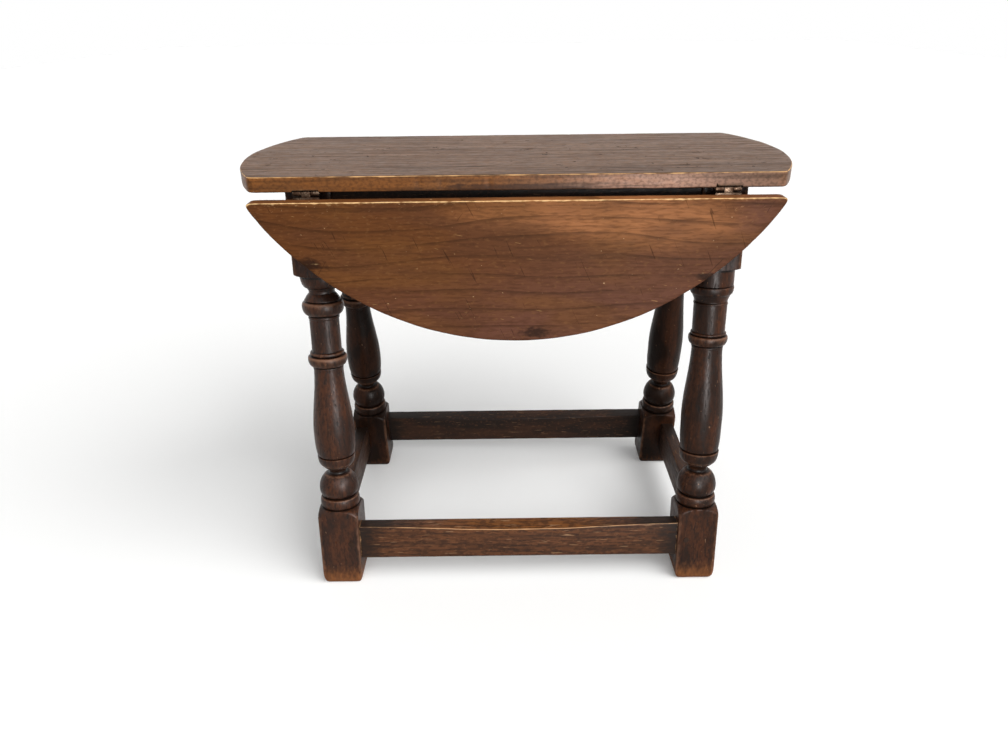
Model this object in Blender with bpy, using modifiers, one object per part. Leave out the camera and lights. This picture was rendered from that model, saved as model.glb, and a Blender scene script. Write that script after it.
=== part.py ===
# Drop-leaf stool table: a narrow oak top and two hinged leaves on a pegged frame with splayed legs.
# Metres, +Z up, +X along the table, -Y towards the front leaf.
# The origin is on the floor under the middle of the top. The leaves hang, as in the photograph.

import bpy
import bmesh
from math import asin, cos, pi, radians, sin, sqrt, tan
from mathutils import Matrix, Vector

# Top and leaves
TABLE_HEIGHT = 0.509
BOARD_THICKNESS = 0.016
OPEN_LENGTH = 0.627        # long axis of the oval that the top and raised leaves make
OPEN_WIDTH = 0.574         # short axis of that oval
TOP_WIDTH = 0.262          # fixed top, long edge to long edge
LEAF_JOINT = 0.001         # gap between the top and a raised leaf
ARRIS = 0.002              # rounding of the board edges
OVAL_STEPS = 28            # straight runs along one leaf's curve

# Legs
LEG_STOCK = 0.050          # square section before turning
LEG_END_INSET = 0.054      # leg axis to the corner of the top, along the table
LEG_EDGE_INSET = 0.0533    # leg axis to the long edge of the top, at the underside
SPLAY = radians(7.1)
BLOCK_ARRIS = 0.0015
LEG_SIDES = 20

# Turning patterns, from the top block down to the foot block.
# Each member has a form, a length, the depth of cut at its lower end and at its middle.
# Depth is measured from the face of the square stock. The member with no length takes what is left.
LEFT_TOP_BLOCK = 0.099
LEFT_FOOT_BLOCK = 0.100
LEFT_TURNING = (
    ("shoulder", 0.0065, 0.0008, None),     # shoulder under the top block
    ("plain", 0.0050, 0.0008, None),        # ring
    ("round", 0.0140, 0.0092, 0.0066),      # cove
    ("swell", 0.0330, 0.0070, 0.0008),      # bulb
    ("plain", 0.0380, 0.0068, None),        # column
    ("round", 0.0120, 0.0050, 0.0022),      # upper collar ring
    ("round", 0.0100, 0.0066, 0.0034),      # lower collar ring
    ("ogee", None, 0.0003, None),           # baluster
    ("drop", 0.0250, 0.0028, None),         # foot of the baluster
    ("round", 0.0180, 0.0048, 0.0012),      # torus
    ("round", 0.0150, 0.0050, 0.0092),      # neck
    ("round", 0.0220, 0.0032, 0.0014),      # ball
    ("round", 0.0150, 0.0016, 0.0008),      # ring on the foot block
)
RIGHT_TOP_BLOCK = 0.104
RIGHT_FOOT_BLOCK = 0.094
RIGHT_TURNING = (
    ("shoulder", 0.0035, 0.0003, None),     # shoulder under the top block
    ("plain", 0.0110, 0.0003, None),        # drum
    ("round", 0.0130, 0.0018, 0.0005),      # bead
    ("round", 0.0120, 0.0057, 0.0044),      # cove
    ("plain", 0.0320, 0.0056, None),        # column
    ("round", 0.0160, 0.0053, 0.0022),      # collar
    ("ogee", None, 0.0003, None),           # baluster
    ("plain", 0.0270, 0.0003, None),        # belly
    ("drop", 0.0220, 0.0028, None),         # foot of the baluster
    ("round", 0.0180, 0.0048, 0.0009),      # torus
    ("round", 0.0150, 0.0050, 0.0088),      # neck
    ("round", 0.0270, 0.0032, 0.0004),      # ball
    ("round", 0.0155, 0.0016, 0.0006),      # ring on the foot block
)
FOOT_SHOULDER = 0.012      # height of the domed shoulder on the foot block
SHOULDER_STEPS = 3         # straight runs along each curve of the turning
NOSE_STEPS = 2
TAPER_STEPS = 3
ROUND_STEPS = 4
LONG_CURVE_STEPS = 6

# Rails, with their tenons and pegs
RAIL_THICKNESS = 0.018
RAIL_SETBACK = 0.004       # rail face behind the face of the leg block
APRON_DEPTH = 0.075
STRETCHER_DEPTH = 0.045
STRETCHER_CLEARANCE = 0.0325   # floor to the lower edge of the stretchers
TENON_LENGTH = 0.022
TENON_THICKNESS = 0.009
TENON_SHOULDER = 0.006
HAUNCH = 0.016             # drop of the apron tenons below the top edge, clear of the loper slots
PEG_RADIUS = 0.0042
PEG_INSET = 0.011          # peg axis to the edge of the block
PEG_PROUD = 0.0006
PEG_PAST_TENON = 0.006
PEG_SIDES = 10

# Lopers, the slides that carry the raised leaves
LOPER_WIDTH = 0.025
LOPER_THICKNESS = 0.0065
LOPER_SIDE_GAP = 0.001     # front loper to the leg block beside it
LOPER_SPACING = 0.0065     # front loper to the rear loper beside it
LOPER_PROUD = 0.004        # loper end in front of the apron
LOPER_TAIL_GAP = 0.0015    # loper tail to the far apron
LOPER_TRAVEL = 0.088
STOP_RADIUS = 0.004
STOP_DEPTH = 0.006         # stop peg below the loper
STOP_INSET = 0.009         # stop peg to the tail of the loper
STOP_SIDE_GAP = 0.0008
BEARER_WIDTH = 0.080
BEARER_THICKNESS = 0.016
BEARER_HOUSING = 0.006     # depth of its seat in the end aprons

# Glue blocks between the long aprons and the top
GLUE_BLOCK_LENGTH = 0.060
GLUE_BLOCK_SIZE = 0.018
GLUE_BLOCK_SPACING = 0.120

# Hinges
HINGE_WIDTH = 0.0275
HINGE_OFFSET = 0.0043      # hinge middle inside the leg axis, along the table
HINGE_INSET = 0.0050       # pin axis behind the edge of the top
KNUCKLE_RADIUS = 0.0036
MIDDLE_KNUCKLE = 0.0095
PLATE_THICKNESS = 0.0018
PLATE_LENGTH = 0.030       # pin axis to the end of a plate
PIN_RADIUS = 0.0014
PIN_PROUD = 0.0006
HINGE_CLEARANCE = 0.0004
KNUCKLE_SIDES = 16
SCREW_RADIUS = 0.0015
SCREW_HEAD_RADIUS = 0.0030
SCREW_LENGTH = 0.0125
SCREW_POINT = 0.004
SCREW_SIDES = 8
SCREW_NEAR = 0.0125        # pin axis to the nearer screw
SCREW_PITCH = 0.0105       # nearer screw to the farther one
SCREW_SPREAD = 0.012       # screw to screw along the pin

# Clearances
FIT = 0.0003               # between pieces that touch
OVERCUT = 0.004            # how far a cutter runs past the face that it opens

# Derived places
HALF_TOP = TOP_WIDTH / 2
UNDERSIDE = TABLE_HEIGHT - BOARD_THICKNESS
HALF_LEG = LEG_STOCK / 2
HALF_STRAIGHT_EDGE = OPEN_LENGTH / 2 * sqrt(1 - (TOP_WIDTH / OPEN_WIDTH) ** 2)
LEG_X = HALF_STRAIGHT_EDGE - LEG_END_INSET
FOOT_Y = HALF_TOP - LEG_EDGE_INSET + UNDERSIDE * tan(SPLAY)
LEG_LENGTH = UNDERSIDE / cos(SPLAY)
BLOCK_INNER_X = LEG_X - HALF_LEG
RAIL_OUTER = RAIL_SETBACK - HALF_LEG           # rail faces, measured from the leg axis
RAIL_INNER = RAIL_OUTER + RAIL_THICKNESS
RAIL_MIDDLE = (RAIL_OUTER + RAIL_INNER) / 2
PIN_DROP = KNUCKLE_RADIUS - PLATE_THICKNESS    # pin axis below the underside of the top
PIN_Y = HALF_TOP - HINGE_INSET
PIN_Z = UNDERSIDE - PIN_DROP
HINGE_X = LEG_X - HINGE_OFFSET
LOPER_TOP = UNDERSIDE - FIT
LOPER_BOTTOM = LOPER_TOP - LOPER_THICKNESS
SLOT_FLOOR = LOPER_BOTTOM - FIT
FRONT_LOPER_X = BLOCK_INNER_X - LOPER_SIDE_GAP - LOPER_WIDTH / 2
REAR_LOPER_X = FRONT_LOPER_X - LOPER_WIDTH - LOPER_SPACING

for item in list(bpy.data.objects):
    bpy.data.objects.remove(item, do_unlink=True)

parts = bpy.data.collections.new("drop_leaf_stool_table")
cutters = bpy.data.collections.new("cutters")
bpy.context.scene.collection.children.link(parts)
bpy.context.scene.collection.children.link(cutters)


# Materials
def make_material(name, colour, roughness, metallic=0.0):
    material = bpy.data.materials.new(name)
    material.use_nodes = True
    shader = material.node_tree.nodes["Principled BSDF"]
    shader.inputs["Base Color"].default_value = (*colour, 1.0)
    shader.inputs["Roughness"].default_value = roughness
    shader.inputs["Metallic"].default_value = metallic
    return material


top_oak = make_material("waxed_top_oak", (0.20, 0.14, 0.10), 0.38)
leaf_oak = make_material("waxed_leaf_oak", (0.15, 0.065, 0.028), 0.40)
leg_oak = make_material("dark_turned_oak", (0.045, 0.024, 0.015), 0.42)
rail_oak = make_material("rail_oak", (0.10, 0.050, 0.024), 0.48)
inner_oak = make_material("unpolished_oak", (0.16, 0.10, 0.055), 0.70)
peg_oak = make_material("peg_oak", (0.05, 0.028, 0.016), 0.55)
hinge_iron = make_material("hinge_iron", (0.20, 0.185, 0.17), 0.45, 1.0)


# Shapes
def box(name, low, high):
    bm = bmesh.new()
    bmesh.ops.create_cube(bm, size=1.0)
    low = Vector(low)
    high = Vector(high)
    bmesh.ops.scale(bm, vec=high - low, verts=bm.verts)
    bmesh.ops.translate(bm, vec=(high + low) / 2, verts=bm.verts)
    mesh = bpy.data.meshes.new(name)
    bm.to_mesh(mesh)
    bm.free()
    return bpy.data.objects.new(name, mesh)


def rod(name, radius, start, end, sides):
    start = Vector(start)
    end = Vector(end)
    turn = (end - start).to_track_quat("Z", "Y").to_matrix().to_4x4()
    half_side = Matrix.Rotation(pi / sides, 4, "Z")
    bm = bmesh.new()
    bmesh.ops.create_cone(bm, cap_ends=True, segments=sides, radius1=radius, radius2=radius,
                          depth=(end - start).length,
                          matrix=Matrix.Translation((start + end) / 2) @ turn @ half_side)
    mesh = bpy.data.meshes.new(name)
    bm.to_mesh(mesh)
    bm.free()
    mesh.shade_smooth()
    mesh.set_sharp_from_angle(angle=radians(40))
    return bpy.data.objects.new(name, mesh)


def turned(name, profile, sides):
    bm = bmesh.new()
    ring = [bm.verts.new((radius, 0.0, height)) for radius, height in profile]
    for upper, lower in zip(ring, ring[1:]):
        bm.edges.new((upper, lower))
    mesh = bpy.data.meshes.new(name)
    bm.to_mesh(mesh)
    bm.free()
    piece = bpy.data.objects.new(name, mesh)
    screw = piece.modifiers.new("turning", "SCREW")
    screw.steps = sides
    screw.render_steps = sides
    screw.use_merge_vertices = True
    screw.merge_threshold = 0.00001
    return piece


def board(name, points, thickness, turn):
    curve = bpy.data.curves.new(name, "CURVE")
    curve.dimensions = "2D"
    curve.fill_mode = "BOTH"
    curve.extrude = thickness / 2
    spline = curve.splines.new("POLY")
    spline.points.add(len(points) - 1)
    for point, (along, across) in zip(spline.points, points):
        point.co = (along, across, 0.0, 1.0)
    spline.use_cyclic_u = True
    flat = bpy.data.objects.new(name + "_outline", curve)
    cutters.objects.link(flat)
    graph = bpy.context.evaluated_depsgraph_get()
    mesh = bpy.data.meshes.new_from_object(flat.evaluated_get(graph))
    bpy.data.objects.remove(flat, do_unlink=True)
    bm = bmesh.new()
    bm.from_mesh(mesh)
    bmesh.ops.remove_doubles(bm, verts=bm.verts, dist=0.000001)
    bmesh.ops.transform(bm, matrix=turn, verts=bm.verts)
    bmesh.ops.recalc_face_normals(bm, faces=bm.faces)
    bm.to_mesh(mesh)
    bm.free()
    return bpy.data.objects.new(name, mesh)


def round_edges(piece, width):
    bevel = piece.modifiers.new("rounded_edges", "BEVEL")
    bevel.width = width
    bevel.segments = 2
    bevel.limit_method = "ANGLE"
    bevel.angle_limit = radians(50)


def place(piece, material, parent=None, location=(0.0, 0.0, 0.0)):
    parts.objects.link(piece)
    piece.data.materials.append(material)
    piece.parent = parent
    piece.location = location
    return piece


def tool(piece, parent=None, location=(0.0, 0.0, 0.0)):
    cutters.objects.link(piece)
    piece.hide_render = True
    piece.display_type = "WIRE"
    piece.parent = parent
    piece.location = location
    return piece


def combine(piece, other, operation):
    boolean = piece.modifiers.new(other.name, "BOOLEAN")
    boolean.operation = operation
    boolean.solver = "EXACT"
    boolean.object = other


def cut(piece, *others):
    for other in others:
        combine(piece, other, "DIFFERENCE")


def join(piece, *others):
    for other in others:
        combine(piece, other, "UNION")


def guide(name, location, tilt, heading):
    empty = bpy.data.objects.new(name, None)
    parts.objects.link(empty)
    empty.location = location
    empty.rotation_euler = (tilt, 0.0, heading)
    return empty


# Guides. The rear half is the front half turned round, so in each half -Y points outwards.
half_turns = {"front": 0.0, "rear": pi}
outward = {"front": -1, "rear": 1}
frame_sides = {}
hinge_lines = {}
leaf_hinges = {}
for half, heading in half_turns.items():
    pin_place = (0.0, outward[half] * PIN_Y, PIN_Z)
    frame_sides[half] = guide(half + "_frame_side", (0.0, outward[half] * FOOT_Y, 0.0), -SPLAY, heading)
    hinge_lines[half] = guide(half + "_hinge_line", pin_place, 0.0, heading)
    leaf_hinges[half] = guide(half + "_leaf_hinge", pin_place, pi / 2, heading)


def local_sign(half, hand):
    left_is = {"front": -1, "rear": 1}
    return left_is[half] if hand == "left" else -left_is[half]


# Cutters that trim the legs and aprons level with the floor and with the underside of the top
reach = OPEN_LENGTH
below_floor = tool(box("below_floor", (-reach, -reach, -reach), (reach, reach, 0.0)))
above_frame = tool(box("above_frame", (-reach, -reach, LOPER_TOP), (reach, reach, reach + LOPER_TOP)))


# Fixed top
def oval_half_length(y):
    return OPEN_LENGTH / 2 * sqrt(1 - (2 * y / OPEN_WIDTH) ** 2)


end_steps = OVAL_STEPS // 2
end_places = [HALF_TOP * (2 * step / end_steps - 1) for step in range(end_steps + 1)]
top_points = [(oval_half_length(y), y) for y in end_places]
top_points += [(-oval_half_length(y), y) for y in reversed(end_places)]
top_level = Matrix.Translation((0.0, 0.0, UNDERSIDE + BOARD_THICKNESS / 2))
fixed_top = place(board("fixed_top", top_points, BOARD_THICKNESS, top_level), top_oak)
round_edges(fixed_top, ARRIS)


# Leaves, drawn raised about their pin axis and turned down by the guide that carries them
leaf_edge = HALF_TOP + LEAF_JOINT
leaf_start = asin(2 * leaf_edge / OPEN_WIDTH)
leaf_points = []
for step in range(OVAL_STEPS + 1):
    turn = leaf_start + (pi - 2 * leaf_start) * step / OVAL_STEPS
    leaf_points.append((OPEN_LENGTH / 2 * cos(turn), PIN_Y - OPEN_WIDTH / 2 * sin(turn)))
leaf_level = Matrix.Translation((0.0, 0.0, PIN_DROP + BOARD_THICKNESS / 2))
leaves = {}
for half in half_turns:
    leaf = board(half + "_leaf", leaf_points, BOARD_THICKNESS, leaf_level)
    leaves[half] = place(leaf, leaf_oak, leaf_hinges[half])
    round_edges(leaf, ARRIS)


# Legs
member_steps = {
    "shoulder": NOSE_STEPS,
    "plain": 1,
    "round": ROUND_STEPS,
    "swell": LONG_CURVE_STEPS,
    "ogee": LONG_CURVE_STEPS,
    "drop": TAPER_STEPS,
}


def member_points(form, top, bottom, start, end, middle):
    steps = member_steps[form]
    points = []
    for step in range(1, steps + 1):
        share = step / steps
        if form == "round":
            along = (1 - cos(pi * share)) / 2
            radius = start + (end - start) * along + (middle - (start + end) / 2) * sin(pi * share)
        elif form == "swell":
            along = share
            radius = start + (end - start) * along + (middle - (start + end) / 2) * sin(pi * share)
        elif form == "ogee":
            along = share
            radius = start + (end - start) * share * share * (3 - 2 * share)
        elif form in ("drop", "shoulder"):
            along = sin(pi / 2 * share)
            radius = end + (start - end) * cos(pi / 2 * share)
        else:
            along = share
            radius = start + (end - start) * share
        points.append((radius, top + (bottom - top) * along))
    return points


def leg_profile(top_block, foot_block, turning):
    corner = LEG_STOCK / sqrt(2)
    uncut = LEG_STOCK
    above = LEG_LENGTH + LEG_STOCK
    below = -LEG_STOCK
    height = LEG_LENGTH - top_block
    given = sum(length for form, length, end, middle in turning if length)
    rest = height - foot_block - given
    points = [(0.0, above), (uncut, above), (uncut, height)]
    radius = corner
    for form, length, end, middle in turning:
        bottom = height - (length or rest)
        end_radius = HALF_LEG - end
        middle_radius = HALF_LEG - (middle or 0.0)
        points += member_points(form, height, bottom, radius, end_radius, middle_radius)
        height = bottom
        radius = end_radius
    for step in range(1, SHOULDER_STEPS + 1):
        turn = pi / 2 * step / SHOULDER_STEPS
        points.append((radius + (corner - radius) * sin(turn), height - FOOT_SHOULDER * (1 - cos(turn))))
    points += [(uncut, below), (0.0, below)]
    return points


leg_patterns = {
    "left": (LEFT_TOP_BLOCK, LEFT_FOOT_BLOCK, LEFT_TURNING),
    "right": (RIGHT_TOP_BLOCK, RIGHT_FOOT_BLOCK, RIGHT_TURNING),
}
legs = {}
for half in half_turns:
    for hand, pattern in leg_patterns.items():
        name = "leg_" + half + "_" + hand
        spot = (local_sign(half, hand) * LEG_X, 0.0, 0.0)
        stock = box(name, (-HALF_LEG, -HALF_LEG, -HALF_LEG), (HALF_LEG, HALF_LEG, LEG_LENGTH + HALF_LEG))
        leg = place(stock, leg_oak, frame_sides[half], spot)
        chamfer = leg.modifiers.new("block_arrises", "BEVEL")
        chamfer.width = BLOCK_ARRIS
        chamfer.segments = 1
        pattern_solid = turned(name + "_turning", leg_profile(*pattern), LEG_SIDES)
        combine(leg, tool(pattern_solid, frame_sides[half], spot), "INTERSECT")
        cut(leg, below_floor, above_frame)
        legs[half, hand] = leg


# Long rails: front and rear aprons and stretchers, which lean with the legs
half_run = BLOCK_INNER_X - FIT
tenon_reach = BLOCK_INNER_X + TENON_LENGTH
tenon_outer = RAIL_MIDDLE - TENON_THICKNESS / 2
tenon_inner = RAIL_MIDDLE + TENON_THICKNESS / 2


def long_rail(name, half, low, high, tenon_low, tenon_high):
    parent = frame_sides[half]
    rail = place(box(name, (-half_run, RAIL_OUTER, low), (half_run, RAIL_INNER, high)), rail_oak, parent)
    tenon = box(name + "_tenons",
                (-tenon_reach, tenon_outer, tenon_low),
                (tenon_reach, tenon_inner, tenon_high))
    slot = box(name + "_mortises",
               (-tenon_reach - FIT, tenon_outer - FIT, tenon_low - FIT),
               (tenon_reach + FIT, tenon_inner + FIT, tenon_high + FIT))
    join(rail, tool(tenon, parent))
    mortises = tool(slot, parent)
    cut(legs[half, "left"], mortises)
    cut(legs[half, "right"], mortises)
    return rail


apron_low = LEG_LENGTH - APRON_DEPTH
stretcher_low = STRETCHER_CLEARANCE / cos(SPLAY)
stretcher_high = stretcher_low + STRETCHER_DEPTH
long_aprons = {}
long_stretchers = {}
for half in half_turns:
    apron = long_rail("apron_" + half, half, apron_low, LEG_LENGTH + OVERCUT,
                      apron_low + TENON_SHOULDER, LEG_LENGTH - HAUNCH)
    cut(apron, above_frame)
    long_aprons[half] = apron
    long_stretchers[half] = long_rail("stretcher_" + half, half, stretcher_low, stretcher_high,
                                      stretcher_low + TENON_SHOULDER, stretcher_high - TENON_SHOULDER)


# End rails: left and right aprons and stretchers, whose ends are cut to the splay
def block_inner_y(z):
    return FOOT_Y - HALF_LEG / cos(SPLAY) - z * tan(SPLAY)


def splayed_outline(low, high, longer):
    low_y = block_inner_y(low) + longer
    high_y = block_inner_y(high) + longer
    return [(-low_y, low), (low_y, low), (high_y, high), (-high_y, high)]


hand_signs = {"left": -1, "right": 1}


def end_rail(name, hand, low, high, tenon_low, tenon_high):
    middle = hand_signs[hand] * (LEG_X - RAIL_MIDDLE)
    upright = Matrix(((0, 0, 1, middle), (1, 0, 0, 0), (0, 1, 0, 0), (0, 0, 0, 1)))
    rail = place(board(name, splayed_outline(low, high, -FIT), RAIL_THICKNESS, upright), rail_oak)
    tenon_shape = splayed_outline(tenon_low, tenon_high, TENON_LENGTH)
    tenon = board(name + "_tenons", tenon_shape, TENON_THICKNESS, upright)
    slot_shape = splayed_outline(tenon_low - FIT, tenon_high + FIT, TENON_LENGTH + FIT)
    slot = board(name + "_mortises", slot_shape, TENON_THICKNESS + 2 * FIT, upright)
    join(rail, tool(tenon))
    mortises = tool(slot)
    cut(legs["front", hand], mortises)
    cut(legs["rear", hand], mortises)
    return rail


end_aprons = {}
end_stretchers = {}
apron_foot = UNDERSIDE - APRON_DEPTH
stretcher_top = STRETCHER_CLEARANCE + STRETCHER_DEPTH
for hand in hand_signs:
    end_aprons[hand] = end_rail("apron_" + hand, hand, apron_foot, LOPER_TOP,
                                apron_foot + TENON_SHOULDER, UNDERSIDE - HAUNCH)
    end_stretchers[hand] = end_rail("stretcher_" + hand, hand, STRETCHER_CLEARANCE, stretcher_top,
                                    STRETCHER_CLEARANCE + TENON_SHOULDER, stretcher_top - TENON_SHOULDER)


# Pegs through the foot blocks into the stretcher tenons
def peg(name, half, hand, rail, start, end, deeper):
    parent = frame_sides[half]
    place(rod(name, PEG_RADIUS, start, end, PEG_SIDES), peg_oak, parent)
    hole_start = Vector(start) - Vector(deeper) * OVERCUT
    hole_end = Vector(end) + Vector(deeper) * FIT
    hole = tool(rod(name + "_hole", PEG_RADIUS + FIT, hole_start, hole_end, PEG_SIDES), parent)
    cut(legs[half, hand], hole)
    cut(rail, hole)


peg_height = (stretcher_low + stretcher_high) / 2
peg_head = HALF_LEG + PEG_PROUD
peg_tip = -tenon_inner - PEG_PAST_TENON
for half in half_turns:
    for hand in hand_signs:
        sign = local_sign(half, hand)
        x = sign * (BLOCK_INNER_X + PEG_INSET)
        peg("peg_stretcher_" + half + "_" + hand, half, hand, long_stretchers[half],
            (x, -peg_head, peg_height), (x, -peg_tip, peg_height), (0, 1, 0))
        y = HALF_LEG - PEG_INSET
        head = (sign * (LEG_X + peg_head), y, peg_height)
        tip = (sign * (LEG_X + peg_tip), y, peg_height)
        peg("peg_stretcher_" + hand + "_" + half, half, hand, end_stretchers[hand], head, tip, (-sign, 0, 0))


# Lopers, drawn for the front half and turned round for the rear
def apron_face_y(face):
    return FOOT_Y - face * cos(SPLAY) - LEG_LENGTH * sin(SPLAY)


loper_front = apron_face_y(RAIL_OUTER) + LOPER_PROUD
loper_tail = apron_face_y(RAIL_INNER) - LOPER_TAIL_GAP
stop_rest = loper_tail - STOP_INSET
stop_out = stop_rest - LOPER_TRAVEL
bearer_top = SLOT_FLOOR
bearer_reach = LEG_X - RAIL_INNER + BEARER_HOUSING
half_bearer = BEARER_WIDTH / 2
loper_bearer = place(box("loper_bearer",
                         (-bearer_reach, -half_bearer, bearer_top - BEARER_THICKNESS),
                         (bearer_reach, half_bearer, bearer_top)), inner_oak)
housing = tool(box("bearer_housings",
                   (-bearer_reach - FIT, -half_bearer - FIT, bearer_top - BEARER_THICKNESS - FIT),
                   (bearer_reach + FIT, half_bearer + FIT, bearer_top + FIT)))
for hand in hand_signs:
    cut(end_aprons[hand], housing)

loper_guides = {half: guide(half + "_loper_line", (0.0, 0.0, 0.0), 0.0, heading)
                for half, heading in half_turns.items()}
loper_x = {"front": FRONT_LOPER_X, "rear": REAR_LOPER_X}
half_loper = LOPER_WIDTH / 2
half_groove = STOP_RADIUS + STOP_SIDE_GAP
for half in half_turns:
    parent = loper_guides[half]
    for hand in hand_signs:
        name = "loper_" + half + "_" + hand
        x = local_sign(half, hand) * loper_x[half]
        slide = box(name,
                    (x - half_loper, -loper_front, LOPER_BOTTOM),
                    (x + half_loper, loper_tail, LOPER_TOP))
        loper = place(slide, inner_oak, parent)
        stop_foot = (x, stop_rest, LOPER_BOTTOM - STOP_DEPTH)
        stop_head = (x, stop_rest, LOPER_BOTTOM + LOPER_THICKNESS / 2)
        join(loper, tool(rod(name + "_stop", STOP_RADIUS, stop_foot, stop_head, PEG_SIDES), parent))
        slot = tool(box(name + "_slot", (x - half_loper - FIT, -HALF_TOP, SLOT_FLOOR),
                        (x + half_loper + FIT, 0.0, UNDERSIDE + OVERCUT)), parent)
        cut(long_aprons[half], slot)
        groove = tool(box(name + "_groove",
                          (x - half_groove, stop_out - half_groove, bearer_top - STOP_DEPTH - FIT),
                          (x + half_groove, half_bearer + OVERCUT, bearer_top + OVERCUT)), parent)
        cut(loper_bearer, groove)


# Glue blocks
for half in half_turns:
    for hand in hand_signs:
        x = local_sign(half, hand) * GLUE_BLOCK_SPACING / 2
        half_length = GLUE_BLOCK_LENGTH / 2
        glue_block = box("glue_block_" + half + "_" + hand,
                         (x - half_length, RAIL_INNER + FIT, LEG_LENGTH - GLUE_BLOCK_SIZE),
                         (x + half_length, RAIL_INNER + FIT + GLUE_BLOCK_SIZE, LEG_LENGTH + OVERCUT))
        place(glue_block, inner_oak, frame_sides[half])
        cut(glue_block, above_frame)


# Hinges. A plate lies flush in its board, tangent to the knuckles, with its pockets open at the joint.
half_hinge = HINGE_WIDTH / 2
over_hinge = half_hinge + OVERCUT
half_middle = MIDDLE_KNUCKLE / 2
outer_knuckle = half_middle + HINGE_CLEARANCE
knuckle_room = KNUCKLE_RADIUS + HINGE_CLEARANCE
over_knuckle = KNUCKLE_RADIUS + OVERCUT


def screw_profile(grow, above, below):
    return [(0.0, SCREW_LENGTH + above), (SCREW_RADIUS + grow, SCREW_LENGTH + above - SCREW_POINT),
            (SCREW_RADIUS + grow, PLATE_THICKNESS), (SCREW_HEAD_RADIUS + grow, 0.0),
            (SCREW_HEAD_RADIUS + grow, -below), (0.0, -below)]


def hinge_screws(name, parent, plate, wood, x, direction):
    for number in (1, 2):
        side = 2 * number - 3
        away = SCREW_NEAR + SCREW_PITCH * (number - 1)
        spot = (x + side * SCREW_SPREAD / 2, direction * away, PIN_DROP)
        profile = screw_profile(0.0, 0.0, 0.0)[:4] + [(0.0, 0.0)]
        screw = place(turned(name + "_screw_" + str(number), profile, SCREW_SIDES), hinge_iron, parent, spot)
        screw.data.shade_smooth()
        hole_profile = screw_profile(FIT, 2 * FIT, OVERCUT)
        hole = tool(turned(screw.name + "_hole", hole_profile, SCREW_SIDES), parent, spot)
        cut(plate, hole)
        cut(wood, hole)


def hinge_plate(name, x, direction, wood, parent, notches):
    near, far = sorted((0.0, direction * PLATE_LENGTH))
    plate = box(name, (x - over_hinge, near, PIN_DROP), (x + over_hinge, far, KNUCKLE_RADIUS))
    place(plate, hinge_iron, parent)
    knuckle_end = over_hinge + OVERCUT
    barrel = rod(name + "_barrel", KNUCKLE_RADIUS, (x - knuckle_end, 0.0, 0.0), (x + knuckle_end, 0.0, 0.0),
                 KNUCKLE_SIDES)
    join(plate, tool(barrel, parent))
    bore = rod(name + "_bore", PIN_RADIUS + FIT, (x - knuckle_end - OVERCUT, 0.0, 0.0),
               (x + knuckle_end + OVERCUT, 0.0, 0.0), PEG_SIDES)
    cut(plate, tool(bore, parent))
    for number, (low, high) in enumerate(notches):
        inside, past = sorted((direction * knuckle_room, -direction * over_knuckle))
        cut(plate, tool(box(name + "_notch_" + str(number), (x + low, inside, -over_knuckle),
                            (x + high, past, over_knuckle)), parent))
    over_plate = PLATE_LENGTH + OVERCUT
    trim = box(name + "_trim", (x - half_hinge, -over_plate, -over_plate),
               (x + half_hinge, over_plate, over_plate))
    combine(plate, tool(trim, parent), "INTERSECT")
    inner, outer = sorted((direction * (PLATE_LENGTH + FIT), -direction * (PLATE_LENGTH + HINGE_INSET)))
    pocket = box(name + "_pocket", (x - half_hinge - FIT, inner, PIN_DROP - OVERCUT),
                 (x + half_hinge + FIT, outer, KNUCKLE_RADIUS + FIT))
    cut(wood, tool(pocket, parent))
    hinge_screws(name.replace("_plate", ""), parent, plate, wood, x, direction)


middle_notch = [(-outer_knuckle, outer_knuckle)]
notch_end = half_hinge + HINGE_WIDTH
outer_notches = [(-notch_end, -half_middle), (half_middle, notch_end)]
for half in half_turns:
    for hand in hand_signs:
        name = "hinge_" + half + "_" + hand
        x = local_sign(half, hand) * HINGE_X
        hinge_plate(name + "_top_plate", x, 1, fixed_top, hinge_lines[half], middle_notch)
        hinge_plate(name + "_leaf_plate", x, -1, leaves[half], leaf_hinges[half], outer_notches)
        pin_half = half_hinge + PIN_PROUD
        place(rod(name + "_pin", PIN_RADIUS, (x - pin_half, 0.0, 0.0), (x + pin_half, 0.0, 0.0), PEG_SIDES),
              hinge_iron, hinge_lines[half])
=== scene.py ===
from math import asin, ceil, cos, pi, radians, sin, sqrt, tan

import bmesh
import bpy
import numpy as np
from mathutils import Matrix, Vector, noise


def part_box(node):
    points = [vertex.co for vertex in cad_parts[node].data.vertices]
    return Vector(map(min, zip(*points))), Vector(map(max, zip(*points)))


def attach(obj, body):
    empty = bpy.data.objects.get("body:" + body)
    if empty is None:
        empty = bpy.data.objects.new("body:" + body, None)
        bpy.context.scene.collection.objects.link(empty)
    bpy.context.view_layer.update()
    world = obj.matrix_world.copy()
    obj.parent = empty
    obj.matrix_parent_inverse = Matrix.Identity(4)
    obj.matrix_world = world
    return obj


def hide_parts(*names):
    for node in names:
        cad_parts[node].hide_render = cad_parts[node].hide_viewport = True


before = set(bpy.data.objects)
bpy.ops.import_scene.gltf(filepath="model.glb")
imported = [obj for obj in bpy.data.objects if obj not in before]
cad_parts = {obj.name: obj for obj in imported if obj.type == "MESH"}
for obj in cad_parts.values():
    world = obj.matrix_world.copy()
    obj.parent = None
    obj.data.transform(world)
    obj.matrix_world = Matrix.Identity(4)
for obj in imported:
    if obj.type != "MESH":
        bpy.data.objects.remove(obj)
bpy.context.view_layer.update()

scene = bpy.context.scene

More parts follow.
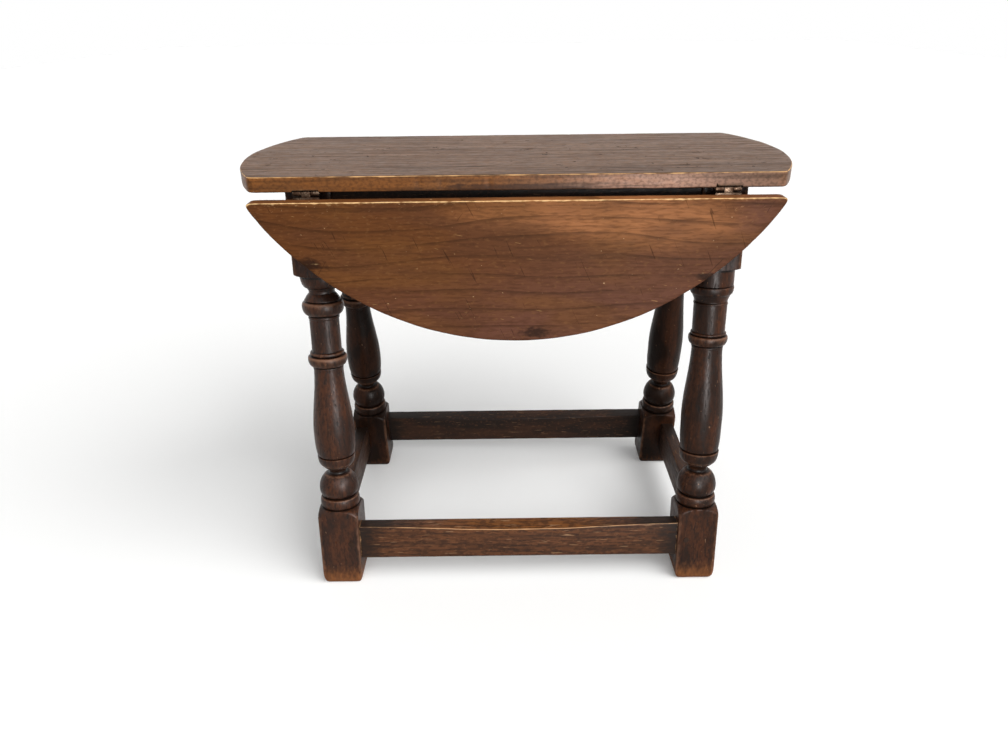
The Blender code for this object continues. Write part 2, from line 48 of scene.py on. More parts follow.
# Setting out in metres. The legs lean in, so each long side is drawn upright and then tipped.
setting = {
    "splay": radians(7.1),
    "legX": 0.22493,                 # leg axis from the middle of the table
    "footY": 0.13911,                # leg axis where it meets the floor
    "halfStock": 0.025,
    "railFaces": (-0.021, -0.003),   # outer and inner face of a rail, from the leg axis
    "ovalHalves": (0.3135, 0.287),   # half length and half width with the leaves up
    "pinInset": 0.0050,              # hinge pin behind the edge of the top
    "pinDrop": 0.0018,               # hinge pin below the underside
    "fit": 0.0003,
    "bury": 0.0004,                  # how far a rail's end goes into its leg
    "overCut": 0.02,                 # how far a cut starts outside the wood
}
splay, legX, footY = setting["splay"], setting["legX"], setting["footY"]
halfStock, pinDrop, fit = setting["halfStock"], setting["pinDrop"], setting["fit"]
outer, inner = setting["railFaces"]
halfLength, halfWidth = setting["ovalHalves"]
topLow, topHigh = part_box("fixed_top")
underside = topLow.z
halfTop = topHigh.y
frameTop = underside - fit
legLength = underside / cos(splay)
pinY = halfTop - setting["pinInset"]
pinZ = underside - pinDrop
halfTurns = {"front": 0.0, "rear": pi}
hands = {"left": -1, "right": 1}
legPlaces = [(half, hand) for half in halfTurns for hand in hands]
squareAxes = ((1, 0, 0), (0, 1, 0), (0, 0, 1))
roundSides = [(cos(t), sin(t)) for t in np.linspace(0, 2 * pi, 20, endpoint=False)]


def halfTurn(half):
    return Matrix.Rotation(halfTurns[half], 4, "Z")


def leaning(half):
    # x along the table, y inwards from the leg axis, z up the leg
    return halfTurn(half) @ Matrix.Translation((0, -footY, 0)) @ Matrix.Rotation(-splay, 4, "X")


def leaningAxes(half):
    return [tuple(axis) for axis in leaning(half).to_3x3().col]


def localSign(half, hand):
    return hands[hand] if half == "front" else -hands[hand]


# Small tools
def tint(hexCode):
    parts = [int(hexCode[i:i + 2], 16) / 255 for i in (0, 2, 4)]
    return (*[c / 12.92 if c <= 0.04045 else ((c + 0.055) / 1.055) ** 2.4 for c in parts], 1.0)


def addNode(tree, kind, inputs=(), **settings):
    # inputs are values or sockets, in order or by name, and the node's outputs come back
    node = tree.nodes.new(kind)
    for name, value in settings.items():
        setattr(node, name, value)
    for key, value in inputs.items() if isinstance(inputs, dict) else enumerate(inputs):
        if isinstance(value, bpy.types.NodeSocket):
            tree.links.new(value, node.inputs[key])
        else:
            node.inputs[key].default_value = value
    return node.outputs


def unevenness(points, size, shift):
    # smooth noise from -1 to 1 over features of that size
    return np.array([noise.noise(Vector((p[0] / size, p[1] / size, shift))) for p in points])


def placeObject(name, data):
    thing = bpy.data.objects.new(name, data)
    scene.collection.objects.link(thing)
    return thing


def meshObject(name, points, edges=(), faces=()):
    mesh = bpy.data.meshes.new(name)
    mesh.from_pydata([tuple(p) for p in points], edges, faces)
    return placeObject(name, mesh)


def turnOutwards(piece, sharp=35):
    bm = bmesh.new()
    bm.from_mesh(piece.data)
    bmesh.ops.remove_doubles(bm, verts=bm.verts, dist=0.000002)
    bmesh.ops.recalc_face_normals(bm, faces=bm.faces)
    if bm.calc_volume(signed=True) < 0:
        bmesh.ops.reverse_faces(bm, faces=bm.faces)
    bm.to_mesh(piece.data)
    bm.free()
    piece.data.shade_smooth()
    piece.data.set_sharp_from_angle(angle=radians(sharp))


def applyModifiers(piece, sharp=35):
    graph = bpy.context.evaluated_depsgraph_get()
    made = piece.evaluated_get(graph)
    mesh = bpy.data.meshes.new_from_object(made, preserve_all_data_layers=True, depsgraph=graph)
    piece.modifiers.clear()
    piece.data = mesh
    turnOutwards(piece, sharp)


def joinInto(piece, others):
    whole = bmesh.new()
    for part in (piece, *others):
        whole.from_mesh(part.data)
    whole.to_mesh(piece.data)
    whole.free()
    for part in others:
        bpy.data.objects.remove(part, do_unlink=True)


def loft(name, rings, place=None, poles=False):
    # skins a row of closed rings, with a flat cap or a pole at each end
    count = len(rings[0])
    points = [p for ring in rings for p in ring]
    faces = []
    for row in range(0, len(points) - count, count):
        for i in range(count):
            j = (i + 1) % count
            faces.append((row + i, row + j, row + count + j, row + count + i))
    first = list(range(count))
    last = [len(points) - count + i for i in range(count)]
    if poles:
        points += [np.mean(rings[0], axis=0), np.mean(rings[-1], axis=0)]
        for cap, pole in ((first[::-1], len(points) - 2), (last, len(points) - 1)):
            faces += [(cap[i], cap[(i + 1) % count], pole) for i in range(count)]
    else:
        faces += [tuple(first[::-1]), tuple(last)]
    piece = meshObject(name, points, faces=faces)
    if place:
        piece.data.transform(place)
    turnOutwards(piece)
    return piece


def prism(name, outline, low, high, eased, place=None):
    # an outline in y and z, drawn out along x, with its edges eased
    piece = loft(name, [[(x, y, z) for y, z in outline] for x in (low, high)], place)
    bevel = piece.modifiers.new("eased", "BEVEL")
    bevel.width = eased
    bevel.segments = 3
    bevel.limit_method = "ANGLE"
    bevel.angle_limit = radians(28)
    applyModifiers(piece)
    return piece


def cutAway(piece, boxes):
    cutters = []
    for (x0, y0, z0), (x1, y1, z1) in boxes:
        rings = [[(x, y0, z0), (x, y1, z0), (x, y1, z1), (x, y0, z1)] for x in (x0, x1)]
        cutters.append(loft("cutter", rings))
        cut = piece.modifiers.new("cut", "BOOLEAN")
        cut.operation = "DIFFERENCE"
        cut.solver = "EXACT"
        cut.use_hole_tolerant = True
        cut.object = cutters[-1]
    applyModifiers(piece)
    for cutter in cutters:
        bpy.data.objects.remove(cutter, do_unlink=True)


def surfaceOf(piece):
    places = np.zeros(len(piece.data.vertices) * 3, np.float32)
    normals = np.zeros_like(places)
    piece.data.vertices.foreach_get("co", places)
    piece.data.vertex_normals.foreach_get("vector", normals)
    return places.reshape(-1, 3), normals.reshape(-1, 3)


def mark(piece, **layers):
    for name, values in layers.items():
        layer = piece.data.attributes.new(name, "FLOAT", "POINT")
        layer.data.foreach_set("value", np.asarray(values, np.float32))


def arrisShare(normals, axes, start, run):
    # an arris is where the surface faces none of the piece's own directions
    facing = np.abs(normals @ np.array(axes, np.float32).T).max(axis=1)
    return np.clip((1 - facing - start) / run, 0, 1)


def markArrises(piece, axes, strength):
    mark(piece, wear=strength * arrisShare(surfaceOf(piece)[1], axes, start=0.1, run=0.19))


def settle(piece, body, finish, *nodes):
    slotName, material = finishes[finish]
    piece.data.materials.clear()
    piece.data.materials.append(material)
    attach(piece, body)
    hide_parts(*nodes)


def newFinish(name):
    material = bpy.data.materials.new(name)
    material.use_nodes = True
    return material, material.node_tree, material.node_tree.nodes["Principled BSDF"]


# Oak, sawn along the grain and finished with wax over an old dark stain: year rings wander over the
# face, open pores make short dark dashes, and hands and feet rub the arrises back to pale golden wood.
oak = {
    "faintSize": (110, 30), "faintRange": (0.33, 0.55),        # stretches where the year rings fade
    "sheenRange": (0.3, 0.7), "bareDullness": 0.3, "poreDullness": 0.35, "ringRelief": 0.15, "bump": 0.6,
}


def oakFinish(name, look):
    material, tree, shader = newFinish(name)
    place = addNode(tree, "ShaderNodeTexCoord")["Object"]
    grain = addNode(tree, "ShaderNodeMapping", {"Vector": place, "Rotation": look["turn"]})[0]

    def cloud(size, shift, detail=2.0, tilt=0.0, bend=0.0):
        # noise of a size in mm along and across the grain
        along, across = (mm / 1000 for mm in size)
        spot = {"Vector": grain, "Location": shift, "Rotation": (0.0, 0.0, radians(tilt)),
                "Scale": (along, across, across)}
        spot = addNode(tree, "ShaderNodeMapping", spot, vector_type="TEXTURE")[0]
        return addNode(tree, "ShaderNodeTexNoise",
                       {"Vector": spot, "Scale": 1.0, "Detail": detail, "Distortion": bend})

    def coat(under, shade, value, low, high, most, within=None):
        # a shade over the colour below, where a value goes from low to high
        mask = addNode(tree, "ShaderNodeMapRange", (value, low, high, 0.0, most),
                       interpolation_type="SMOOTHSTEP")[0]
        if within is not None:
            mask = addNode(tree, "ShaderNodeMath", (mask, within), operation="MULTIPLY")[0]
        over = addNode(tree, "ShaderNodeMix", {0: mask, 6: under, 7: tint(shade)}, data_type="RGBA")[2]
        return over, mask

    def painted(colour, rows):
        # shades laid on where the piece's own attributes say, their edges broken up by noise
        for where, shade, low, high, most, broken in rows:
            amount = addNode(tree, "ShaderNodeAttribute", attribute_name=where)["Fac"]
            amount = addNode(tree, "ShaderNodeMath", (uneven, broken, amount), operation="MULTIPLY_ADD")[0]
            colour = coat(colour, shade, amount, low, high, most)[0]
        return colour

    # distance from a wandering pith, darkest at the end of each year, fading in and out along the board
    drift = cloud(look["driftSize"], look["shift"], 1.5)["Color"]
    wander = (0.0, look["wander"], look["wander"])
    years = addNode(tree, "ShaderNodeVectorMath", (grain, (0.0, 1.0, 1.0), look["pith"]),
                    operation="MULTIPLY_ADD")[0]
    years = addNode(tree, "ShaderNodeVectorMath", (drift, wander, years), operation="MULTIPLY_ADD")[0]
    years = addNode(tree, "ShaderNodeVectorMath", (years,), operation="LENGTH")["Value"]
    years = addNode(tree, "ShaderNodeMath", (years, look["ringWidth"]), operation="DIVIDE")[0]
    year = addNode(tree, "ShaderNodeMath", (years,), operation="FRACT")[0]
    faint = cloud(oak["faintSize"], look["shift"])[0]
    faint = addNode(tree, "ShaderNodeMapRange", (faint, *oak["faintRange"], 0.0, 1.0),
                    interpolation_type="SMOOTHSTEP")[0]
    patch = cloud(look["patchSize"], look["shift"], 3.0)[0]
    uneven = addNode(tree, "ShaderNodeMath", (patch, 0.5), operation="SUBTRACT")[0]

    colour = painted(tint(look["base"]), look["zones"])      # red or pale wood, and on the top's edge a painted highlight, lie under the grain
    height = 0.0
    for layer in look["layers"]:
        noisy = cloud(layer["size"], layer.get("shift", look["shift"]),
                      tilt=layer.get("tilt", 0.0), bend=layer.get("bend", 0.0))[0]
        within = None
        if "where" in layer:
            within = addNode(tree, "ShaderNodeAttribute", attribute_name=layer["where"])["Fac"]
        colour, mask = coat(colour, layer["colour"], noisy, *layer["range"], layer["strength"], within)
        if "relief" in layer:
            height = addNode(tree, "ShaderNodeMath", (mask, -layer["relief"], height),
                             operation="MULTIPLY_ADD")[0]
    colour, lateWood = coat(colour, look["ring"], year, *look["ringEdges"], look["ringStrength"], faint)
    colour = painted(colour, look["marks"])                  # bare wood, dirt and rubbed arrises lie over it
    tree.links.new(colour, shader.inputs["Base Color"])

    sheen = addNode(tree, "ShaderNodeMapRange", (patch, *oak["sheenRange"], *look["rough"]))[0]
    raw = addNode(tree, "ShaderNodeAttribute", attribute_name="raw")["Fac"]
    for dull, amount in ((raw, oak["bareDullness"]), (height, -oak["poreDullness"])):
        sheen = addNode(tree, "ShaderNodeMath", (dull, amount, sheen), operation="MULTIPLY_ADD")[0]
    tree.links.new(sheen, shader.inputs["Roughness"])
    shader.inputs["Specular IOR Level"].default_value = look["specular"]
    height = addNode(tree, "ShaderNodeMath", (lateWood, -oak["ringRelief"], height),
                     operation="MULTIPLY_ADD")[0]
    bump = addNode(tree, "ShaderNodeBump",
                   {"Height": height, "Strength": oak["bump"], "Distance": look["relief"]})[0]
    tree.links.new(bump, shader.inputs["Normal"])
    return material


def grainLayer(along, across, low, high, strength, colour, **more):
    # noise of a size in mm along and across the grain, which colours where it goes from low to high
    return {"size": (along, across), "range": (low, high), "strength": strength, "colour": colour, **more}


def weaker(layers, share):
    return [{**layer, "strength": share * layer["strength"]} for layer in layers]


along = (0.0, 0.0, 0.0)
hanging = (radians(90), 0.0, 0.0)        # the leaf's width is upright
upright = (0.0, radians(90), 0.0)        # grain up the leg
endways = (0.0, 0.0, radians(90))        # grain from front to back

# Pores are about 0.3 mm wide, too fine to show from here, so they are drawn 2 to 6 mm wide.
# Zones and marks: attribute, colour, where it starts and ends, its most, and how broken its edge is.
plainOak = {"turn": along, "driftSize": (500, 200), "ringEdges": (0.6, 0.97), "zones": (), "relief": 0.0004}
topLook = {
    **plainOak, "shift": (0.31, 0.04, 0.0), "pith": (0.0, 0.03, 0.09), "driftSize": (600, 250),
    "wander": 0.07, "ringWidth": 0.013, "ringEdges": (0.55, 0.95), "base": "6b4b32", "ring": "35251b",
    "ringStrength": 0.2,
    "layers": (
        grainLayer(160, 60, 0.42, 0.62, 0.5, "785539"),
        grainLayer(130, 50, 0.5, 0.7, 0.5, "573e2b", shift=(0.7, 0.2, 0.1)),
        grainLayer(260, 6.5, 0.5, 0.62, 0.42, "3a2517", relief=0.45, where="flat"),
        grainLayer(200, 6, 0.56, 0.68, 0.3, "96704a", shift=(0.2, 0.5, 0.1), where="flat"),
        grainLayer(80, 4.5, 0.57, 0.63, 0.55, "2a190f", relief=0.5, where="flat"),
        grainLayer(11, 9, 0.695, 0.715, 0.85, "170d08", relief=0.7, where="flat"),
        grainLayer(2.6, 24, 0.71, 0.74, 0.65, "1c110a", relief=0.4, tilt=48, bend=0.9,
                   shift=(0.33, 0.61, 0.0), where="flat"),
        grainLayer(3, 34, 0.73, 0.76, 0.6, "1c110a", tilt=-62, bend=0.7, shift=(0.81, 0.27, 0.0),
                   where="flat"),
        grainLayer(120, 4, 0.5, 0.66, 0.4, "382518", relief=0.1),
        grainLayer(4, 3, 0.4, 0.68, 0.45, "38261a"),
    ),
    "patchSize": (13, 4),
    # the edge's pale pink zone is partly a painted highlight
    "zones": (("tone", "c9997f", 0.1, 0.8, 0.95, 0.5), ("pale", "935b2c", 0.1, 0.8, 0.95, 0.5)),
    "marks": (("raw", "5c4430", 0.25, 0.65, 0.75, 0.9), ("grime", "2f1d16", 0.2, 0.7, 0.75, 1.0),
              ("wear", "deae76", 0.35, 0.85, 0.9, 1.3)),
    "rough": (0.34, 0.48), "specular": 0.1,
}
leafLook = {
    **plainOak, "turn": hanging, "shift": (0.06, 0.02, 0.0), "pith": (0.0, -0.40, 0.10),
    "driftSize": (420, 160), "wander": 0.10, "ringWidth": 0.019, "ringEdges": (0.76, 0.97),
    "base": "6c4122", "ring": "37200f", "ringStrength": 0.47,
    "layers": (
        grainLayer(150, 50, 0.46, 0.62, 0.5, "7d5029"),
        grainLayer(120, 45, 0.48, 0.66, 0.5, "5f3b27", shift=(0.44, 0.1, 0.2)),
        grainLayer(90, 3.5, 0.45, 0.7, 0.35, "4a2c19", relief=0.1),
        grainLayer(12, 2.4, 0.46, 0.64, 0.33, "472a17", relief=0.3),
        grainLayer(6, 3, 0.56, 0.72, 0.28, "92623a", shift=(0.5, 0.7, 0.3)),
        grainLayer(3, 46, 0.69, 0.73, 0.5, "22140b", tilt=-24, bend=0.7, relief=0.5),
        grainLayer(3, 30, 0.73, 0.76, 0.5, "26160c", tilt=38, bend=0.9, shift=(0.9, 0.3, 0.0)),
        grainLayer(20, 1.8, 0.73, 0.77, 0.7, "c2925c", tilt=12, shift=(0.4, 0.8, 0.0)),
        grainLayer(5, 3.5, 0.74, 0.77, 0.9, "d8ae80"),
        grainLayer(9, 2.4, 0.69, 0.74, 0.85, "c08f63", tilt=-30, bend=1.5, shift=(0.15, 0.6, 0.0),
                   where="scuffed"),
    ),
    "patchSize": (7, 3.5),
    "zones": (("tone", "70483a", 0.1, 1.0, 0.8, 0.3), ("pale", "ba7a4c", 0.1, 1.0, 0.85, 0.3)),
    "marks": (("raw", "5c4028", 0.25, 0.65, 0.75, 0.9), ("grime", "24160f", 0.25, 0.85, 0.8, 1.2),
              ("wear", "eac28a", 0.35, 0.85, 0.95, 1.1)),
    "rough": (0.46, 0.6), "specular": 0.05,
}
legLook = {
    **plainOak, "turn": upright, "shift": (0.22, 0.01, 0.06), "pith": (0.0, 0.05, 0.05), "wander": 0.04,
    "ringWidth": 0.009, "base": "331d13", "ring": "120b08", "ringStrength": 0.25,
    "layers": (
        grainLayer(60, 25, 0.42, 0.6, 0.65, "55311e"),
        grainLayer(30, 5, 0.42, 0.7, 0.5, "1f140f", relief=0.2),
        grainLayer(6, 3, 0.42, 0.66, 0.55, "1a110c", relief=0.3),
        grainLayer(34, 2.2, 0.62, 0.67, 0.7, "0d0806", relief=0.6),
        grainLayer(7, 2.6, 0.72, 0.76, 0.5, "a97f60"),
    ),
    "patchSize": (9, 3.5),
    "marks": (("raw", "9c6238", 0.1, 1.3, 0.9, 1.0), ("grime", "0f0a08", 0.25, 0.75, 0.85, 0.9),
              ("wear", "86604a", 0.4, 1.0, 0.7, 0.7)),
    "rough": (0.25, 0.44), "specular": 0.17,
}
# the right front leg is darkened a little as painted shade, and the back pair, darker still and with fainter
# grain, is painted shade where less light reaches them
rightLegShadedLook = {**legLook, "base": "2a180f", "specular": 0.12}
backLegShadedLook = {**legLook, "base": "1f120b", "specular": 0.08, "layers": weaker(legLook["layers"], 0.6)}
railLook = {
    **plainOak, "shift": (0.53, 0.0, 0.02), "pith": (0.0, 0.06, 0.05), "wander": 0.05,
    "ringWidth": 0.012, "base": "5c3924", "ring": "2a1a11", "ringStrength": 0.45,
    "layers": (
        grainLayer(110, 25, 0.42, 0.62, 0.6, "65402a"),
        grainLayer(60, 3, 0.44, 0.64, 0.6, "2a1a11", relief=0.2),
        grainLayer(9, 2.6, 0.44, 0.62, 0.6, "24160e", relief=0.3),
        grainLayer(5, 3, 0.55, 0.7, 0.4, "7b5034", shift=(0.4, 0.1, 0.2)),
        grainLayer(24, 1.8, 0.66, 0.71, 0.7, "ad8562"),
    ),
    "patchSize": (16, 5),
    "zones": (("pale", "774821", 0.2, 0.9, 0.8, 0.9),),
    "marks": (("raw", "4a3423", 0.25, 0.65, 1.0, 0.9), ("grime", "17100c", 0.25, 0.75, 0.85, 0.9),
              ("wear", "d0a072", 0.35, 0.85, 0.85, 1.0)),
    "rough": (0.36, 0.52), "specular": 0.14,
}
# The rear stretcher and the aprons sit in the table's shade, so this colouring is darkened as painted shade;
# the end rails build on it, a little lighter.
shadedRailLayers = weaker(railLook["layers"], 0.5)
shadedRailLook = {**railLook, "shift": (0.3, 0.2, 0.1), "base": "1f140e", "layers": shadedRailLayers}
endRailLook = {**shadedRailLook, "turn": endways, "shift": (0.13, 0.07, 0.02), "base": "2f1d14"}
bareLook = {
    **plainOak, "shift": (0.09, 0.14, 0.0), "pith": (0.0, 0.05, 0.07), "wander": 0.05,
    "ringWidth": 0.008, "base": "553c27", "ring": "39271a", "ringStrength": 0.5,
    "layers": (grainLayer(90, 40, 0.42, 0.66, 0.5, "684c32"),
               grainLayer(30, 2.6, 0.4, 0.72, 0.5, "3c2a1b", relief=0.3)),
    "patchSize": (14, 5),
    "marks": (("grime", "1c130c", 0.25, 0.75, 0.85, 0.9), ("wear", "86643f", 0.5, 0.95, 0.7, 0.9)),
    "rough": (0.6, 0.75), "specular": 0.12, "relief": 0.0005,
}
# The lopers sit in the shadow between apron and leg block, so their colour is darkened as painted shade.
shadedSlideLook = {**bareLook, "turn": endways, "base": "35251a", "shift": (0.2, 0.03, 0.01)}
pegLook = {**bareLook, "turn": upright, "base": "2e1e15", "ringWidth": 0.003, "rough": (0.45, 0.6)}

finishes = {
    "topOak": ("top_oak", oakFinish("waxedOakTop", topLook)),
    "leafOak": ("leaf_oak", oakFinish("waxedOakLeaf", leafLook)),
    "leftLegOak": ("leg_oak", oakFinish("darkTurnedOak", legLook)),
    "rightLegOak": ("leg_oak", oakFinish("shadedTurnedOak", rightLegShadedLook)),
    "backLegShadedOak": ("leg_oak", oakFinish("deepShadedTurnedOak", backLegShadedLook)),
    "railOak": ("rail_oak", oakFinish("rubbedOakRail", railLook)),
    "endRailOak": ("rail_oak", oakFinish("rubbedOakEndRail", endRailLook)),
    "shadedRailOak": ("rail_oak", oakFinish("shadedOakRail", shadedRailLook)),
    "bareOak": ("inner_oak", oakFinish("bareOak", bareLook)),
    "shadedSlideOak": ("inner_oak", oakFinish("shadedBareOakSlide", shadedSlideLook)),
    "pegOak": ("peg_oak", oakFinish("rivenOakPeg", pegLook)),
}

# Wrought iron, filed and waxed: grey-brown, with small pale spots painted on as painted glints, pitted with
# old rust. Sizes in mm.
iron = {
    "base": "4b3c31", "rough": (0.3, 0.55), "roughRange": (0.3, 0.7), "patchSize": 6, "pitSize": 1.2,
    "paintedGlints": ("8f7c6a", 0.52, 0.7, 0.7), "brown": ("2e1e15", 0.42, 0.62, 0.85), "bump": 0.35,
    "relief": 0.0003,
}


def ironFinish(name):
    material, tree, shader = newFinish(name)
    shader.inputs["Metallic"].default_value = 1.0
    place = addNode(tree, "ShaderNodeTexCoord")["Object"]
    patch, pits = [
        addNode(tree, "ShaderNodeTexNoise", {"Vector": place, "Scale": 1000 / mm, "Detail": detail})[0]
        for mm, detail in ((iron["patchSize"], 3.0), (iron["pitSize"], 2.0))]
    colour = tint(iron["base"])
    # the pale spots are painted glints; the brown patches are old rust
    for value, (shade, low, high, most) in ((pits, iron["paintedGlints"]), (patch, iron["brown"])):
        mask = addNode(tree, "ShaderNodeMapRange", (value, low, high, 0.0, most))[0]
        colour = addNode(tree, "ShaderNodeMix", {0: mask, 6: colour, 7: tint(shade)}, data_type="RGBA")[2]
    tree.links.new(colour, shader.inputs["Base Color"])
    rough = addNode(tree, "ShaderNodeMapRange", (patch, *iron["roughRange"], *iron["rough"]))[0]
    tree.links.new(rough, shader.inputs["Roughness"])
    bump = addNode(tree, "ShaderNodeBump",
                   {"Height": pits, "Strength": iron["bump"], "Distance": iron["relief"]})[0]
    tree.links.new(bump, shader.inputs["Normal"])
    return material


finishes["hingeIron"] = ("hinge_iron", ironFinish("wroughtHingeIron"))
print("finishes:", len(finishes))

# Hinge places: the pin line of each half, with the plates let into the boards
hinge = {
    "x": legX - 0.0043, "halfWidth": 0.01375, "knuckle": 0.0036, "plateEnd": 0.030, "plateStart": 0.0040,
    "middle": 0.00475, "outer": 0.00515, "rootRun": 0.0005, "segments": 28, "plateEased": 0.0002,
    "knuckleEased": 0.0003, "pin": 0.0014, "pinProud": 0.0006,
    "pinEnd": ((0, 0.55), (0.0003, 0.85), (0.0006, 1.0)),
    "screwAway": (0.0125, 0.0230), "screwSide": (-0.006, 0.006), "pocketDepth": 0.0021,
}


def hingeLine(half, leaf):
    turn = Matrix.Rotation(pi / 2 if leaf else 0.0, 4, "X")
    return halfTurn(half) @ Matrix.Translation((0, -pinY, pinZ)) @ turn


# Boards: the fixed top and the two leaves. A run is the length over which something wanders.
board = {
    "thickness": topHigh.z - topLow.z, "spacing": 0.0020, "curveSteps": 90, "faceRings": 22, "arrisSteps": 6,
    "cornerRounding": 0.008, "leafCornerRounding": 0.013, "leafJoint": 0.001, "leafTips": (0.0052, 0.0036),
    "tipRun": 0.35, "leafBelly": 0.0024, "arris": 0.0017, "arrisRun": 0.030, "lowerArris": 0.0013,
    "lowerRun": 0.025, "nick": 0.0024, "nickRun": 0.006, "nickFrom": 0.36, "dent": 0.0012, "dentRun": 0.012,
    "dentFrom": 0.25, "sag": 0.0005, "sagRun": 0.11,
}


def roundedLoop(corners, rounding):
    # walks round a closed outline at even steps and rounds its corners
    points = np.array(corners)
    closed = np.vstack([points, points[:1]])
    run = np.r_[0, np.cumsum(np.linalg.norm(np.diff(closed, axis=0), axis=1))]
    steps = np.linspace(0, run[-1], int(run[-1] / board["spacing"]), endpoint=False)
    loop = np.stack([np.interp(steps, run, closed[:, k]) for k in (0, 1)], axis=1)
    reach = max(1, int(rounding / board["spacing"] / 2))
    for passing in range(2):
        loop = np.mean([np.roll(loop, step, axis=0) for step in range(-reach, reach + 1)], axis=0)
    return loop


def boardPiece(name, corners, rounding, seed, place):
    thick = board["thickness"]
    loop = roundedLoop(corners, rounding)
    run = np.roll(loop, -1, axis=0) - np.roll(loop, 1, axis=0)
    run /= np.linalg.norm(run, axis=1)[:, None]
    inward = np.stack([-run[:, 1], run[:, 0]], axis=1)
    middle = loop.mean(axis=0)
    arris = board["arris"] * (1 + 0.5 * unevenness(loop, board["arrisRun"], seed))
    arris += board["nick"] * np.clip(unevenness(loop, board["nickRun"], seed + 7) - board["nickFrom"], 0, 1)
    lowerArris = board["lowerArris"] * (1 + 0.5 * unevenness(loop, board["lowerRun"], seed + 3))
    dents = board["dent"] * np.clip(unevenness(loop, board["dentRun"], seed + 5) - board["dentFrom"], 0, 1)

    def ring(inset, level):
        plan = loop + inward * np.broadcast_to(inset, len(loop))[:, None]
        return np.column_stack([plan, np.broadcast_to(level, len(loop))])

    def innerRings(edge, level, sink):
        for share in np.linspace(1, 0, board["faceRings"], endpoint=False)[1:]:
            plan = middle + (edge[:, :2] - middle) * share
            sag = board["sag"] * (0.5 + 0.5 * unevenness(plan, board["sagRun"], seed + 11))
            yield np.column_stack([plan, level + sink * sag])

    quarter = np.linspace(0, pi / 2, board["arrisSteps"])
    rings = [ring(arris * (1 - sin(t)), thick - arris * (1 - cos(t))) for t in quarter]
    rings += [ring(dents, thick * share) for share in (0.65, 0.5, 0.35)]
    rings += [ring(lowerArris * (1 - sin(t)), lowerArris * (1 - cos(t))) for t in quarter[::-1]]
    upper = list(innerRings(rings[0], thick, -1))[::-1]
    lower = list(innerRings(rings[-1], 0.0, 1))
    return loft(name, upper + rings + lower, place, poles=True)


def arrisOf(facing):
    # 1 where a surface is halfway between a board's face and its edge, at 45 degrees
    facing = np.clip(np.abs(facing), 0, 1)
    return np.clip((1 - np.maximum(facing, np.sqrt(1 - facing ** 2))) / 0.29, 0, 1)


def hiddenSide(facing):
    # 1 where a board's surface looks away from its show side
    return np.clip((-facing - 0.6) * 3, 0, 1)


def blots(places, spots):
    # soft spots on the face: middle in x and z, half width and half height
    return sum(np.exp(-((places[:, 0] - x) / halfWide) ** 2 - ((places[:, 2] - z) / halfHigh) ** 2)
               for x, z, halfWide, halfHigh in spots)


def ovalHalf(y):
    return halfLength * sqrt(1 - (y / halfWidth) ** 2)


def pocketBoxes(half):
    # where the hinge plates are let in, in the top and in a hanging leaf
    side = -1 if half == "front" else 1
    wide, reach = hinge["halfWidth"] + fit, hinge["plateEnd"] + fit
    deep, past = hinge["pocketDepth"], setting["overCut"]
    for hand in hands.values():
        x = hand * hinge["x"]
        low, high = sorted((side * (pinY - reach), side * (pinY + past)))
        inTop = ((x - wide, low, underside - past), (x + wide, high, underside + deep))
        low, high = sorted((side * (pinY - past), side * (pinY + pinDrop + deep)))
        inLeaf = ((x - wide, low, pinZ - reach), (x + wide, high, pinZ + past))
        yield inTop, inLeaf


# The right part of the front edge is painted pale pink: a redder tone with a painted highlight where the edge
# faces the light.
topMarks = {"redAndHighlightFrom": -0.10, "highlightRun": 0.30, "endHighlight": 0.3, "darkBelow": underside + 0.0062,
            "darkRun": 0.004, "darkAt": 0.0, "darkHalf": 0.11, "lowerWear": 0.35}
ends = np.linspace(-halfTop, halfTop, board["curveSteps"])
topCorners = [(ovalHalf(y), y) for y in ends] + [(-ovalHalf(y), y) for y in ends[::-1]]
lifted = Matrix.Translation((0, 0, underside))
fixedTop = boardPiece("fixedTop", topCorners, board["cornerRounding"], 4.0, lifted)
cutAway(fixedTop, [inTop for half in halfTurns for inTop, inLeaf in pocketBoxes(half)])
places, normals = surfaceOf(fixedTop)
onEdge = 1 - np.abs(normals[:, 2])
longEdge = np.clip(2 * np.abs(normals[:, 1]) - 0.8, 0, 1)         # the curved ends take less of the pink and painted highlight
towardsRight = np.clip((places[:, 0] - topMarks["redAndHighlightFrom"]) / topMarks["highlightRun"], 0, 1)
lowOnEdge = np.clip((topMarks["darkBelow"] - places[:, 2]) / topMarks["darkRun"] + 0.5, 0, 1) * onEdge
inDark = np.exp(-((places[:, 0] - topMarks["darkAt"]) / topMarks["darkHalf"]) ** 2)
mark(fixedTop,
     wear=arrisOf(normals[:, 2]) * np.where(normals[:, 2] > 0, 1.0, topMarks["lowerWear"]),
     grime=lowOnEdge * inDark, raw=hiddenSide(normals[:, 2]),
     flat=np.clip(np.abs(normals[:, 2]) * 2 - 1, 0, 1),
     tone=onEdge * towardsRight * (topMarks["endHighlight"] + (1 - topMarks["endHighlight"]) * longEdge),
     pale=onEdge * (1 - towardsRight))
settle(fixedTop, "frame", "topOak", "fixed_top")

